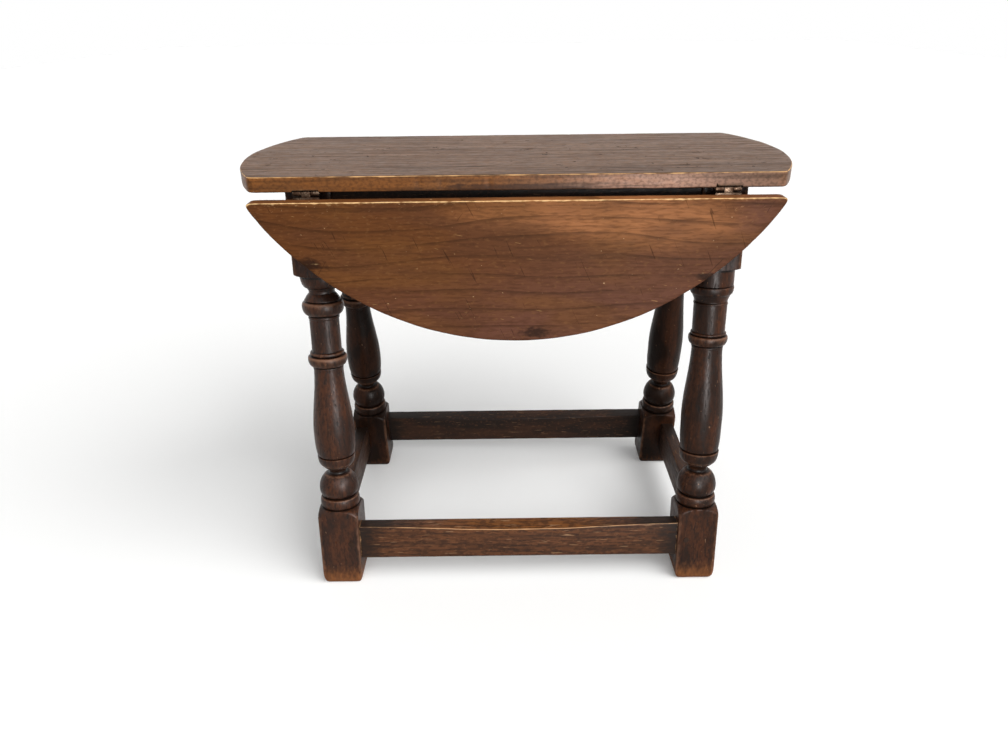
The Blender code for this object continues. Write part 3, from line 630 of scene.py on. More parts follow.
leafMarks = {
    "joint": 0.014,                        # how far the rubbed joint edge reaches down the face
    "jointEdge": 0.004, "jointWear": 1.15, "edgeWear": 0.4, "backWear": 0.3, "faceWear": 0.30,
    "bareWear": 0.6, "scuffs": 1.3, "scuffHalf": 0.26, "paleJoint": (0.002, 0.2),
    "redTip": 0.9, "redRight": 1.0, "redDown": 7.0, "redAndHighlightFrom": 0.08,
    "dark": ((0.020, 0.338, 0.020, 0.007), (-0.226, 0.4185, 0.023, 0.0085), (0.205, 0.401, 0.016, 0.005)),
    # the pale patches high on the right of the face are paler wood with a painted highlight over it
    "pale": ((0.160, 0.454, 0.078, 0.026), (0.050, 0.470, 0.120, 0.020)),
    "red": ((0.256, 0.462, 0.028, 0.034),),
    "bare": ((0.200, 0.4045, 0.014, 0.0016), (-0.213, 0.4195, 0.016, 0.0011)),
}
start = asin((halfTop + board["leafJoint"]) / halfWidth)
curve = np.linspace(start, pi - start, board["curveSteps"])
leafCorners = np.stack([halfLength * np.cos(curve), halfWidth * np.sin(curve) - pinY], axis=1)
# the leaf is fuller than the oval at its tips and along its belly
leftTip, rightTip = board["leafTips"]
leafCorners[:, 0] += rightTip * np.exp(-((curve - start) / board["tipRun"]) ** 2)
leafCorners[:, 0] -= leftTip * np.exp(-((pi - start - curve) / board["tipRun"]) ** 2)
leafCorners[:, 1] += board["leafBelly"] * np.sin((curve - start) / (pi - 2 * start) * pi)
# plan x and distance from the pin, turned down so that the show face looks outwards
turnDown = Matrix(((1, 0, 0, 0), (0, 0, -1, -pinY - pinDrop), (0, -1, 0, pinZ), (0, 0, 0, 1)))
for half, seed in (("front", 11.0), ("rear", 23.0)):
    place = halfTurn(half) @ turnDown
    leaf = boardPiece(half + "Leaf", leafCorners, board["leafCornerRounding"], seed, place)
    cutAway(leaf, [inLeaf for inTop, inLeaf in pocketBoxes(half)])
    places, normals = surfaceOf(leaf)
    outward = normals[:, 1] * (-1 if half == "front" else 1)
    onFace = outward > 0.9
    below = pinZ - board["leafJoint"] - setting["pinInset"] - places[:, 2]      # down from the joint edge
    nearJoint = np.exp(-np.clip(below, 0, 1) / leafMarks["joint"])
    edgeWear = np.where(below < leafMarks["jointEdge"], leafMarks["jointWear"], leafMarks["edgeWear"])
    wear = arrisOf(outward) * np.where(outward > 0, edgeWear, leafMarks["backWear"])
    wear += leafMarks["faceWear"] * nearJoint * onFace
    wear += leafMarks["bareWear"] * blots(places, leafMarks["bare"])
    towardsTip = np.abs(places[:, 0] / leafMarks["scuffHalf"]) ** 0.5
    paleRun, paleAmount = leafMarks["paleJoint"]
    red = 0.5 + leafMarks["redRight"] * places[:, 0] + leafMarks["redDown"] * (below - leafMarks["redAndHighlightFrom"])
    # pale: the patches high on the face carry a painted highlight
    mark(leaf, wear=wear, raw=hiddenSide(outward), grime=blots(places, leafMarks["dark"]),
         scuffed=leafMarks["scuffs"] * nearJoint * onFace * towardsTip,
         pale=np.clip(blots(places, leafMarks["pale"]), 0, 1) + paleAmount * (below < paleRun),
         tone=np.clip(red + leafMarks["redTip"] * blots(places, leafMarks["red"]), 0, 1))
    settle(leaf, half + "_leaf_body", "leafOak", half + "_leaf")
print("boards: top and two leaves")

# Legs. A turning is a row of members from the top block down: form, length, depth of cut at the lower
# end and at the middle, from the face of the square stock. The member with no length takes the rest.
turnings = {
    "left": {"topBlock": 0.094, "footBlock": 0.101, "members": (
        ("shoulder", 0.0085, 0.0016, 0), ("drop", 0.0145, 0.0078, 0), ("plain", 0.0004, 0.0084, 0),
        ("plain", 0.0016, 0.0090, 0), ("round", 0.0055, 0.0092, 0.0102), ("round", 0.0072, 0.0044, 0.0064),
        ("round", 0.0014, 0.0042, 0.0056), ("round", 0.0159, 0.0064, 0.0011), ("plain", 0.0010, 0.0082, 0),
        ("round", 0.0040, 0.0078, 0.0070), ("plain", 0.0390, 0.0076, 0), ("plain", 0.0010, 0.0058, 0),
        ("round", 0.0034, 0.0056, 0.0050), ("plain", 0.0007, 0.0072, 0), ("plain", 0.0007, 0.0040, 0),
        ("round", 0.0120, 0.0060, 0.0022), ("plain", 0.0010, 0.0082, 0), ("round", 0.0030, 0.0076, 0.0072),
        ("ogee", None, 0.0003, 0), ("drop", 0.0290, 0.0034, 0), ("plain", 0.0006, 0.0050, 0),
        ("plain", 0.0008, 0.0022, 0), ("drop", 0.0125, 0.0072, 0), ("plain", 0.0004, 0.0086, 0),
        ("round", 0.0022, 0.0090, 0.0080), ("round", 0.0090, 0.0128, 0.0142),
        ("round", 0.0295, 0.0070, 0.0014), ("plain", 0.0008, 0.0058, 0), ("plain", 0.0008, 0.0030, 0),
        ("round", 0.0122, 0.0022, 0.0008), ("plain", 0.0008, 0.0040, 0))},
    "right": {"topBlock": 0.096, "footBlock": 0.098, "members": (
        ("shoulder", 0.0035, 0.0006, 0), ("plain", 0.0195, 0.0007, 0), ("round", 0.0014, 0.0006, 0.0020),
        ("round", 0.0090, 0.0020, 0.0002), ("round", 0.0091, 0.0058, 0.0046), ("plain", 0.0006, 0.0068, 0),
        ("round", 0.0028, 0.0058, 0.0054), ("plain", 0.0331, 0.0060, 0), ("plain", 0.0008, 0.0048, 0),
        ("round", 0.0024, 0.0048, 0.0043), ("plain", 0.0006, 0.0064, 0), ("plain", 0.0006, 0.0040, 0),
        ("round", 0.0112, 0.0058, 0.0024), ("plain", 0.0009, 0.0076, 0), ("round", 0.0030, 0.0070, 0.0066),
        ("ogee", None, 0.0003, 0), ("plain", 0.0180, 0.0005, 0), ("drop", 0.0260, 0.0028, 0),
        ("plain", 0.0007, 0.0044, 0), ("plain", 0.0009, 0.0010, 0), ("drop", 0.0150, 0.0060, 0),
        ("plain", 0.0004, 0.0074, 0), ("round", 0.0026, 0.0082, 0.0070), ("round", 0.0100, 0.0120, 0.0134),
        ("round", 0.0295, 0.0066, 0.0014), ("plain", 0.0008, 0.0060, 0), ("plain", 0.0008, 0.0030, 0),
        ("round", 0.0120, 0.0026, 0.0006), ("plain", 0.0010, 0.0042, 0))},
}
legForm = {
    "sides": 128, "step": 0.0010, "blockRows": 26, "shoulderRows": 13, "footRows": 40, "soleRows": 12,
    "closest": 0.00002, "cornerPower": 22.0, "blend": 0.0005, "unevenness": 0.00035,
    "rippleScale": 55.0, "rippleFrom": 0.25,        # ripples of about 18 mm
    "footShoulder": 0.016, "soleRounding": 0.0060, "soleRise": 0.014, "levelRun": 0.030,
}
legMarks = {
    "reaches": (0.0025, 0.012), "wear": (0.9, 0.16), "most": (0.8, 2.5), "grime": 1.1, "grimeFrom": 0.1,
    "grimeMost": 0.9, "square": 1.05, "cornerRange": (1.2, 1.36), "cornerWear": 0.75, "soleRun": 0.030,
    "sole": {"front": 1.0, "rear": 0.4},
}


def turnedProfile(turning):
    # (height up the leg, radius) from the top of the leg to the floor
    corner = halfStock * sqrt(2)
    height = legLength - turning["topBlock"]
    given = sum(member[1] or 0 for member in turning["members"])
    rest = height - turning["footBlock"] - given
    rows = [(level, corner) for level in np.linspace(legLength, height, legForm["blockRows"])]
    radius = corner
    for form, length, lowerCut, middleCut in turning["members"]:
        length = length or rest
        lower = halfStock - lowerCut
        bulge = halfStock - middleCut - (radius + lower) / 2
        count = max(6, ceil(length / legForm["step"]))
        for u in np.linspace(0, 1, count + 1)[1:]:
            share, size = u, radius + (lower - radius) * u
            if form == "round":
                share = (1 - cos(pi * u)) / 2
                size = radius + (lower - radius) * share + bulge * sin(pi * u)
            elif form == "ogee":
                size = radius + (lower - radius) * u * u * (3 - 2 * u)
            elif form in ("drop", "shoulder"):
                share = sin(pi / 2 * u)
                size = lower + (radius - lower) * cos(pi / 2 * u)
            rows.append((height - length * share, size))
        height -= length
        radius = lower
    for t in np.linspace(0, 1, legForm["shoulderRows"])[1:] * (pi / 2):
        rows.append((height - legForm["footShoulder"] * (1 - cos(t)), radius + (corner - radius) * sin(t)))
    foot, rise = rows[-1][0], legForm["soleRise"]
    rows += [(level, corner) for level in np.linspace(foot, rise, legForm["footRows"])[1:]]
    rows += [(rise * (1 - sin(t)), corner) for t in np.linspace(0, pi / 2, legForm["soleRows"])[1:]]
    return np.array(rows)


def profileWear(rows):
    # crests rub pale and hollows keep the dirt: the profile against its own average, near and far
    crests = []
    for reach in legMarks["reaches"]:
        weights = np.exp(-((rows[:, 0][:, None] - rows[:, 0][None, :]) / reach) ** 2)
        weights *= np.gradient(-rows[:, 0])[None, :]
        crests.append((rows[:, 1] - weights @ rows[:, 1] / weights.sum(axis=1)) * 1000)
    wear = sum(share * np.clip(crest, 0, most)
               for share, crest, most in zip(legMarks["wear"], crests, legMarks["most"]))
    wear[rows[:, 1] > halfStock * legMarks["square"]] = 0
    grime = np.clip(-legMarks["grime"] * crests[0] - legMarks["grimeFrom"], 0, legMarks["grimeMost"])
    return np.clip(wear, 0, 1), grime


def soleInset(rows):
    # the worn sole draws in round its edge
    sunk = np.clip(1 - rows[:, 0] / legForm["soleRise"], 0, 1)
    return legForm["soleRounding"] * (1 - np.sqrt(1 - sunk ** 2))


def namedInputs(tree, inputs):
    tree.interface.new_socket("Geometry", in_out="INPUT", socket_type="NodeSocketGeometry")
    tree.interface.new_socket("Geometry", in_out="OUTPUT", socket_type="NodeSocketGeometry")
    names = {}
    for label, kind in inputs.items():
        socket = tree.interface.new_socket(label, in_out="INPUT", socket_type="NodeSocket" + kind)
        names[label] = socket.identifier
    return names


def endTree(tree, geometry, finish):
    plain = addNode(tree, "GeometryNodeRealizeInstances", {"Geometry": geometry})[0]
    done = addNode(tree, "GeometryNodeSetMaterial", {"Geometry": plain, "Material": finish})[0]
    addNode(tree, "NodeGroupOutput", {"Geometry": done})


def growPiece(piece, tree, names, values):
    # runs the tree on the piece and keeps its result as a plain mesh
    grow = piece.modifiers.new(tree.name, "NODES")
    grow.node_group = tree
    for label, value in values.items():
        grow[names[label]] = value
    applyModifiers(piece, 40)


# Tree for a leg: a ring is swept up the axis, takes the turned radius, and stops at the faces of the stock
legTree = bpy.data.node_groups.new("turnedLeg", "GeometryNodeTree")
legInputs = namedInputs(legTree, {
    "Half stock": "Float", "Corner power": "Float", "Blend": "Float", "Sides": "Int", "Unevenness": "Float",
    "Seed": "Float", "Finish": "Material"})
given = addNode(legTree, "NodeGroupInput")
held = {name: addNode(legTree, "GeometryNodeInputNamedAttribute", {"Name": name}, data_type="FLOAT")[0]
        for name in ("turned", "inset", "profileWear")}
axis = addNode(legTree, "GeometryNodeMeshToCurve", {"Mesh": given["Geometry"]})[0]
circle = addNode(legTree, "GeometryNodeCurvePrimitiveCircle",
                 {"Resolution": given["Sides"], "Radius": 1.0})[0]
tube = addNode(legTree, "GeometryNodeCurveToMesh",
               {"Curve": axis, "Profile Curve": circle, "Fill Caps": True})[0]
here = addNode(legTree, "GeometryNodeInputPosition")[0]
flatHere = addNode(legTree, "ShaderNodeVectorMath", (here, (1.0, 1.0, 0.0)), operation="MULTIPLY")[0]
around = addNode(legTree, "ShaderNodeVectorMath", (flatHere,), operation="NORMALIZE")[0]
power = given["Corner power"]
powers = []
for part in addNode(legTree, "ShaderNodeSeparateXYZ", (around,))[:2]:
    size = addNode(legTree, "ShaderNodeMath", (part,), operation="ABSOLUTE")[0]
    powers.append(addNode(legTree, "ShaderNodeMath", (size, power), operation="POWER")[0])
total = addNode(legTree, "ShaderNodeMath", powers, operation="ADD")[0]
inverse = addNode(legTree, "ShaderNodeMath", (1.0, power), operation="DIVIDE")[0]
total = addNode(legTree, "ShaderNodeMath", (total, inverse), operation="POWER")[0]
stock = addNode(legTree, "ShaderNodeMath", (given["Half stock"], held["inset"]), operation="SUBTRACT")[0]
squareRadius = addNode(legTree, "ShaderNodeMath", (stock, total), operation="DIVIDE")[0]
radius = addNode(legTree, "ShaderNodeMath", (held["turned"], squareRadius, given["Blend"]),
                 operation="SMOOTH_MIN")[0]
ripple = addNode(legTree, "ShaderNodeTexNoise", {"Vector": here, "W": given["Seed"], "Detail": 2.0,
                                                 "Scale": legForm["rippleScale"]}, noise_dimensions="4D")[0]
ripple = addNode(legTree, "ShaderNodeMath", (ripple, legForm["rippleFrom"]), operation="SUBTRACT")[0]
ripple = addNode(legTree, "ShaderNodeMath", (ripple, 0.0), operation="MAXIMUM")[0]
ripple = addNode(legTree, "ShaderNodeMath", (ripple, given["Unevenness"]), operation="MULTIPLY")[0]
radius = addNode(legTree, "ShaderNodeMath", (radius, ripple), operation="SUBTRACT")[0]
outwards = addNode(legTree, "ShaderNodeVectorMath", {0: around, "Scale": radius}, operation="SCALE")[0]
up = addNode(legTree, "ShaderNodeVectorMath", (here, (0.0, 0.0, 1.0), outwards), operation="MULTIPLY_ADD")[0]
shaped = addNode(legTree, "GeometryNodeSetPosition", {"Geometry": tube, "Position": up})[0]
reach = addNode(legTree, "ShaderNodeMath", (radius, given["Half stock"]), operation="DIVIDE")[0]
cornerWear = addNode(legTree, "ShaderNodeMapRange",
                     (reach, *legMarks["cornerRange"], 0.0, legMarks["cornerWear"]))[0]
rubbed = addNode(legTree, "ShaderNodeMath", (held["profileWear"], cornerWear), operation="MAXIMUM")[0]
stored = addNode(legTree, "GeometryNodeStoreNamedAttribute",
                 {"Geometry": shaped, "Name": "wear", "Value": rubbed}, data_type="FLOAT", domain="POINT")[0]
endTree(legTree, stored, given["Finish"])

for half, hand in legPlaces:
    # the back legs take the painted-shade finish
    finish = hand + "LegOak" if half == "front" else "backLegShadedOak"
    rows = turnedProfile(turnings[hand])[::-1]
    rows = rows[np.r_[True, np.abs(np.diff(rows[:, 0])) > legForm["closest"]]]
    wear, grime = profileWear(rows[::-1])
    axisPoints = [(0, 0, level) for level in rows[:, 0]]
    leg = meshObject(half + "Leg" + hand.capitalize(), axisPoints, [(i, i + 1) for i in range(len(rows) - 1)])
    mark(leg, turned=rows[:, 1], profileWear=wear[::-1], grime=grime[::-1], inset=soleInset(rows),
         raw=np.clip(1 - rows[:, 0] / legMarks["soleRun"], 0, 1) * legMarks["sole"][half])
    growPiece(leg, legTree, legInputs, {
        "Half stock": halfStock, "Corner power": legForm["cornerPower"], "Blend": legForm["blend"],
        "Sides": legForm["sides"], "Unevenness": legForm["unevenness"],
        "Seed": (0.0 if half == "front" else 3.0) + hands[hand], "Finish": finishes[finish][1]})
    # both ends are sawn level, so the leg is sheared near them
    for vertex in leg.data.vertices:
        nearEnd = min(vertex.co.z, legLength - vertex.co.z)
        share = max(0.0, 1 - nearEnd / legForm["levelRun"])
        vertex.co.z += share * vertex.co.y * tan(splay)
        if vertex.co.z > legLength / 2:
            vertex.co.z -= share * fit
    leg.data.transform(leaning(half) @ Matrix.Translation((localSign(half, hand) * legX, 0, 0)))
    settle(leg, "frame", finish, f"leg_{half}_{hand}")
print("legs:", len(leg.data.polygons), "faces in each")

# Stretchers, worn to a slope along the top by feet
stretcherLow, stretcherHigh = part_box("stretcher_left")
stretcher = {
    "clearance": stretcherLow.z, "depth": stretcherHigh.z - stretcherLow.z, "arris": 0.0014, "arrisRun": 0.02,
    "rub": {"front": 0.0062, "rear": 0.0040, "end": 0.0016}, "rubRun": 0.04, "rubLength": 0.135,
    "endRub": 0.06, "wear": {"front": 1.0, "rear": 0.2, "end": 0.3}, "wornMiddle": 0.13,
    "endWornMiddle": 0.06, "darkEnd": 0.055, "step": 0.004, "endReach": 0.1, "endRings": 50,
}


def wornSection(low, high, sunk, radii):
    # a rail's section, its outer upper corner sunk below the inner one
    corners = ((*low, 2), (high[0], low[1], 3), (*high, 0), (low[0], high[1] - sunk, 1))
    ring = []
    for (across, up, quarter), radius in zip(corners, radii):
        across += radius if quarter in (1, 2) else -radius
        up += radius if quarter in (2, 3) else -radius
        for t in np.linspace(quarter * pi / 2, (quarter + 1) * pi / 2, 6):
            ring.append((across + radius * cos(t), up + radius * sin(t)))
    return ring


def arrisRadii(along, seed):
    spots = [Vector((along / stretcher["arrisRun"], seed + k, 0.0)) for k in range(4)]
    return [stretcher["arris"] * (1 + 0.4 * noise.noise(spot)) for spot in spots]


def sunkBy(along, length, most, seed):
    uneven = noise.noise(Vector((along / stretcher["rubRun"], seed, 0.0)))
    return most * np.exp(-abs(along / length) ** 2.5) * (1 + 0.1 * uneven)


def markRail(piece, axes, wornMiddle, along, strength):
    places, normals = surfaceOf(piece)
    arris = arrisShare(normals, axes, start=0.0, run=0.2)
    inMiddle = np.exp(-(places[:, along] / wornMiddle) ** 4)
    onTop = np.clip((normals[:, 2] - 0.15) * 1.6, 0, 1)
    upperHalf = np.clip((places[:, 2] - places[:, 2].min()) / np.ptp(places[:, 2]) - 0.45, 0, 1)
    fromEnd = np.abs(places[:, along]).max() - np.abs(places[:, along])
    atEnd = np.clip(1 - fromEnd / stretcher["darkEnd"], 0, 1)
    mark(piece, wear=strength * arris * (0.55 + 0.45 * onTop * (0.3 + 0.7 * inMiddle)),
         pale=strength * inMiddle * np.clip(onTop + upperHalf, 0, 1),
         grime=np.clip(0.85 * atEnd ** 1.2 + 0.55 * (1 - inMiddle) * onTop, 0, 1))


reachX = legX - halfStock + setting["bury"]
railFoot = stretcher["clearance"] / cos(splay)
for half, seed in (("front", 2.0), ("rear", 6.0)):
    # the rear rail shows its inner face to the room, and is worn there
    side = 1 if half == "front" else -1
    near, far = (outer, inner) if half == "front" else (-inner, -outer)
    rings = []
    for x in np.linspace(-reachX, reachX, int(2 * reachX / stretcher["step"])):
        sunk = sunkBy(x, stretcher["rubLength"], stretcher["rub"][half], seed)
        section = wornSection((near, railFoot), (far, railFoot + stretcher["depth"]), sunk,
                              arrisRadii(x, seed))
        rings.append([(x, side * y, z) for y, z in section])
    rail = loft(half + "Stretcher", rings, leaning(half))
    markRail(rail, leaningAxes(half), stretcher["wornMiddle"], 0, stretcher["wear"][half])
    # the rear rail takes the painted-shade colouring
    settle(rail, "frame", "railOak" if half == "front" else "shadedRailOak", "stretcher_" + half)


def blockInnerY(z):
    return footY - halfStock / cos(splay) - z * tan(splay) + setting["bury"]


lowZ = stretcher["clearance"]
for hand, sign in hands.items():
    rings = []
    for t in np.linspace(-1, 1, stretcher["endRings"]):
        y = t * stretcher["endReach"]
        sunk = sunkBy(y, stretcher["endRub"], stretcher["rub"]["end"], 4.0 + sign)
        section = wornSection((outer - legX, lowZ), (inner - legX, lowZ + stretcher["depth"]), sunk,
                              arrisRadii(y, sign))
        rings.append([(-sign * across, t * blockInnerY(up), up) for across, up in section])
    rail = loft("endStretcher" + hand.capitalize(), rings)
    markRail(rail, squareAxes, stretcher["endWornMiddle"], 1, stretcher["wear"]["end"])
    settle(rail, "frame", "endRailOak", "stretcher_" + hand)
print("stretchers: four")

# Aprons, the bearer and lopers between them, and the glue blocks
underFrame = {
    "apronDepth": 0.075, "eased": 0.0010, "blockEased": 0.0014, "slotRoom": 0.0003, "glueBlock": 0.018,
    "bearer": (0.040, 0.016), "travel": 0.088, "grooveRoom": 0.0048, "grooveEnd": 0.05,
    "stopRadius": 0.0039, "stopDepth": 0.006, "stopInset": 0.009, "stopEased": (0.0006, 0.8),
    "stopRoot": 0.003,
    "wear": {"apron": 0.3, "bearer": 0.6, "loper": 0.7, "glueBlock": 0.5},
}
loperBoxes = {(half, hand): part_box(f"loper_{half}_{hand}") for half, hand in legPlaces}
loperFloor = min(low.z for low, high in loperBoxes.values()) + underFrame["stopDepth"]
slotFloor = loperFloor - fit
stopAt = {key: high.y - underFrame["stopInset"] if key[0] == "front" else low.y + underFrame["stopInset"]
          for key, (low, high) in loperBoxes.items()}


def tippedOutline(half, faces, bottom):
    # section of a leaning board whose top is planed level with the frame
    sign = 1 if half == "front" else -1
    outline = []
    for face, level in ((faces[0], bottom), (faces[1], bottom), (faces[1], None), (faces[0], None)):
        up = level if level is not None else (frameTop + face * sin(splay)) / cos(splay)
        across = -footY + face * cos(splay) + up * sin(splay)
        outline.append((sign * across, -face * sin(splay) + up * cos(splay)))
    return outline


for half in halfTurns:
    outline = tippedOutline(half, (outer, inner), legLength - underFrame["apronDepth"])
    apron = prism(half + "Apron", outline, -reachX, reachX, underFrame["eased"])
    room = underFrame["slotRoom"]
    near, far = sorted((0.0, halfTop if half == "rear" else -halfTop))
    slots = []
    for hand in hands:
        low, high = loperBoxes[half, hand]
        slots.append(((low.x - room, near, slotFloor), (high.x + room, far, underside + setting["overCut"])))
    markArrises(apron, leaningAxes(half), underFrame["wear"]["apron"])
    cutAway(apron, slots)
    settle(apron, "frame", "shadedRailOak", "apron_" + half)

lowZ = underside - underFrame["apronDepth"]
lowY, highY = blockInnerY(lowZ), blockInnerY(frameTop)
for hand, sign in hands.items():
    near, far = sorted(sign * (legX - face) for face in (outer, inner))
    outline = [(-lowY, lowZ), (lowY, lowZ), (highY, frameTop), (-highY, frameTop)]
    apron = prism("endApron" + hand.capitalize(), outline, near, far, underFrame["eased"])
    markArrises(apron, squareAxes, underFrame["wear"]["apron"])
    settle(apron, "frame", "endRailOak", "apron_" + hand)

halfWide, thick = underFrame["bearer"]
reach = legX - inner + fit
bottom = slotFloor - thick
outline = [(-halfWide, bottom), (halfWide, bottom), (halfWide, slotFloor), (-halfWide, slotFloor)]
bearer = prism("loperBearer", outline, -reach, reach, underFrame["eased"])
room = underFrame["grooveRoom"]
grooveFloor = slotFloor - underFrame["stopDepth"] - fit
grooves = []
for (half, hand), (low, high) in loperBoxes.items():
    middle = (low.x + high.x) / 2
    side = 1 if half == "front" else -1
    furthest = stopAt[half, hand] - side * (underFrame["travel"] + room)
    near, far = sorted((furthest, side * underFrame["grooveEnd"]))
    grooves.append(((middle - room, near, grooveFloor), (middle + room, far, slotFloor + setting["overCut"])))
markArrises(bearer, squareAxes, underFrame["wear"]["bearer"])
cutAway(bearer, grooves)
settle(bearer, "frame", "bareOak", "loper_bearer")

for (half, hand), (low, high) in loperBoxes.items():
    outline = [(low.y, loperFloor), (high.y, loperFloor), (high.y, high.z), (low.y, high.z)]
    loper = prism(half + "Loper" + hand.capitalize(), outline, low.x, high.x, underFrame["eased"])
    stop, middle, radius = stopAt[half, hand], (low.x + high.x) / 2, underFrame["stopRadius"]
    eased, tipShare = underFrame["stopEased"]
    levels = ((low.z, tipShare), (low.z + eased, 1.0), (loperFloor + underFrame["stopRoot"], 1.0))
    rings = [[(middle + share * radius * c, stop + share * radius * s, level) for c, s in roundSides]
             for level, share in levels]
    joinInto(loper, [loft("loperStop", rings)])
    markArrises(loper, squareAxes, underFrame["wear"]["loper"])
    settle(loper, f"{half}_{hand}_loper", "shadedSlideOak", f"loper_{half}_{hand}")

for half, hand in legPlaces:
    faces = (inner + fit, inner + fit + underFrame["glueBlock"])
    outline = tippedOutline(half, faces, legLength - underFrame["glueBlock"])
    low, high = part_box(f"glue_block_{half}_{hand}")
    name = "glueBlock" + half.capitalize() + hand.capitalize()
    glueBlock = prism(name, outline, low.x, high.x, underFrame["blockEased"])
    markArrises(glueBlock, squareAxes, underFrame["wear"]["glueBlock"])
    settle(glueBlock, "frame", "bareOak", f"glue_block_{half}_{hand}")
print("under-frame: aprons, bearer, lopers and glue blocks")

# Hinges: each plate curls round the pin in one or two knuckles
def knuckleOutline(direction):
    # section of a knuckle and the root of its plate, the plate tangent to the top of the curl
    radius = hinge["knuckle"]
    begin = asin(pinDrop / radius)
    turns = np.linspace(begin, pi / 2 - 2 * pi, hinge["segments"])
    curl = [(radius * cos(t), radius * sin(t)) for t in turns]
    root = hinge["plateStart"] + hinge["rootRun"]
    return [(direction * y, z) for y, z in curl + [(root, radius), (root, pinDrop)]]


def hingePlate(name, half, hand, leaf):
    direction = -1 if leaf else 1
    middle = localSign(half, hand) * hinge["x"]
    near, far = sorted((direction * hinge["plateStart"], direction * hinge["plateEnd"]))
    high = hinge["knuckle"]
    wide = hinge["halfWidth"]
    flat = [(near, pinDrop), (far, pinDrop), (far, high), (near, high)]
    plate = prism(name, flat, middle - wide, middle + wide, hinge["plateEased"])
    spans = [(-wide, -hinge["outer"]), (hinge["outer"], wide)]
    if leaf:
        spans = [(-hinge["middle"], hinge["middle"])]
    curl = knuckleOutline(direction)
    joinInto(plate, [prism("knuckle", curl, middle + start, middle + end, hinge["knuckleEased"])
                     for start, end in spans])
    plate.data.transform(hingeLine(half, leaf))
    turnOutwards(plate)
    return plate


tip = hinge["halfWidth"] + hinge["pinProud"]
pinStations = [(-tip + back, share) for back, share in hinge["pinEnd"]]
pinStations += [(-along, share) for along, share in pinStations[::-1]]
for half, hand in legPlaces:
    node = f"hinge_{half}_{hand}"
    name = half + "Hinge" + hand.capitalize()
    plate = hingePlate(name + "TopPlate", half, hand, False)
    settle(plate, "frame", "hingeIron", node + "_top_plate")
    plate = hingePlate(name + "LeafPlate", half, hand, True)
    settle(plate, half + "_leaf_body", "hingeIron", node + "_leaf_plate")
    middle = localSign(half, hand) * hinge["x"]
    rings = [[(middle + along, share * hinge["pin"] * c, share * hinge["pin"] * s) for c, s in roundSides]
             for along, share in pinStations]
    pin = loft(name + "Pin", rings, hingeLine(half, False))
    settle(pin, "frame", "hingeIron", node + "_pin")

# Tree for screws and pegs: a tapered stud on each point, none of them turned alike. Its depth is counted in
# heights above the wood, and all but one of them are sunk. A screw's slot stays where the last turn left it.
screw = {"radius": 0.0029, "proud": 0.0003, "sides": 24, "segments": 1, "taper": 0.86, "depth": 4.0,
         "slotWidth": 0.0007, "slotLength": 3.0, "slotLevel": 0.8, "smallest": (1.0, 1.0, 1.0)}
pegForm = {"radius": 0.0042, "proud": 0.0006, "sides": 11, "segments": 2, "taper": 0.9, "depth": 6.0,
           "smallest": (0.86, 0.86, 0.9), "inset": 0.011, "apronInset": 0.0125, "apronLevels": (0.028, 0.056)}


def studTree(name, form):
    tree = bpy.data.node_groups.new(name, "GeometryNodeTree")
    names = namedInputs(tree, {"Radius": "Float", "Proud": "Float", "Sides": "Int", "Slot width": "Float",
                               "Seed": "Int", "Finish": "Material"})
    given = addNode(tree, "NodeGroupInput")
    radius, proud, seed = given["Radius"], given["Proud"], given["Seed"]
    tip = addNode(tree, "ShaderNodeMath", (radius, form["taper"]), operation="MULTIPLY")[0]
    depth = addNode(tree, "ShaderNodeMath", (proud, form["depth"]), operation="MULTIPLY")[0]
    stud = addNode(tree, "GeometryNodeMeshCone", {
        "Vertices": given["Sides"], "Side Segments": form["segments"], "Fill Segments": form["segments"],
        "Radius Top": tip, "Radius Bottom": radius, "Depth": depth})[0]
    sunk = addNode(tree, "ShaderNodeMath", (proud, 1.0 - form["depth"]), operation="MULTIPLY")[0]
    sunk = addNode(tree, "ShaderNodeCombineXYZ", (0.0, 0.0, sunk))[0]
    stud = addNode(tree, "GeometryNodeTransform", {"Geometry": stud, "Translation": sunk})[0]
    if "slotWidth" in form:
        long = addNode(tree, "ShaderNodeMath", (radius, form["slotLength"]), operation="MULTIPLY")[0]
        size = addNode(tree, "ShaderNodeCombineXYZ", (long, given["Slot width"], depth))[0]
        slotCut = addNode(tree, "GeometryNodeMeshCube", {"Size": size})[0]
        lift = addNode(tree, "ShaderNodeMath", (proud, form["slotLevel"]), operation="MULTIPLY")[0]
        lift = addNode(tree, "ShaderNodeCombineXYZ", (0.0, 0.0, lift))[0]
        slotCut = addNode(tree, "GeometryNodeTransform", {"Geometry": slotCut, "Translation": lift})[0]
        stud = addNode(tree, "GeometryNodeMeshBoolean", {"Mesh 1": stud, "Mesh 2": slotCut},
                       operation="DIFFERENCE")[0]
    facing = addNode(tree, "GeometryNodeInputNamedAttribute", {"Name": "facing"}, data_type="FLOAT_VECTOR")[0]
    turn = addNode(tree, "FunctionNodeAlignRotationToVector", {"Vector": facing}, axis="Z")[0]
    spin = addNode(tree, "FunctionNodeRandomValue", {2: 0.0, 3: pi, "Seed": seed}, data_type="FLOAT")[1]
    spin = addNode(tree, "FunctionNodeAxisAngleToRotation", {"Angle": spin})[0]
    turn = addNode(tree, "FunctionNodeRotateRotation", (turn, spin), rotation_space="LOCAL")[0]
    size = addNode(tree, "FunctionNodeRandomValue", {0: form["smallest"], 1: (1.0, 1.0, 1.0), "Seed": seed},
                   data_type="FLOAT_VECTOR")[0]
    studs = addNode(tree, "GeometryNodeInstanceOnPoints", {"Points": given["Geometry"], "Instance": stud,
                                                           "Rotation": turn, "Scale": size})[0]
    endTree(tree, studs, given["Finish"])
    return tree, names


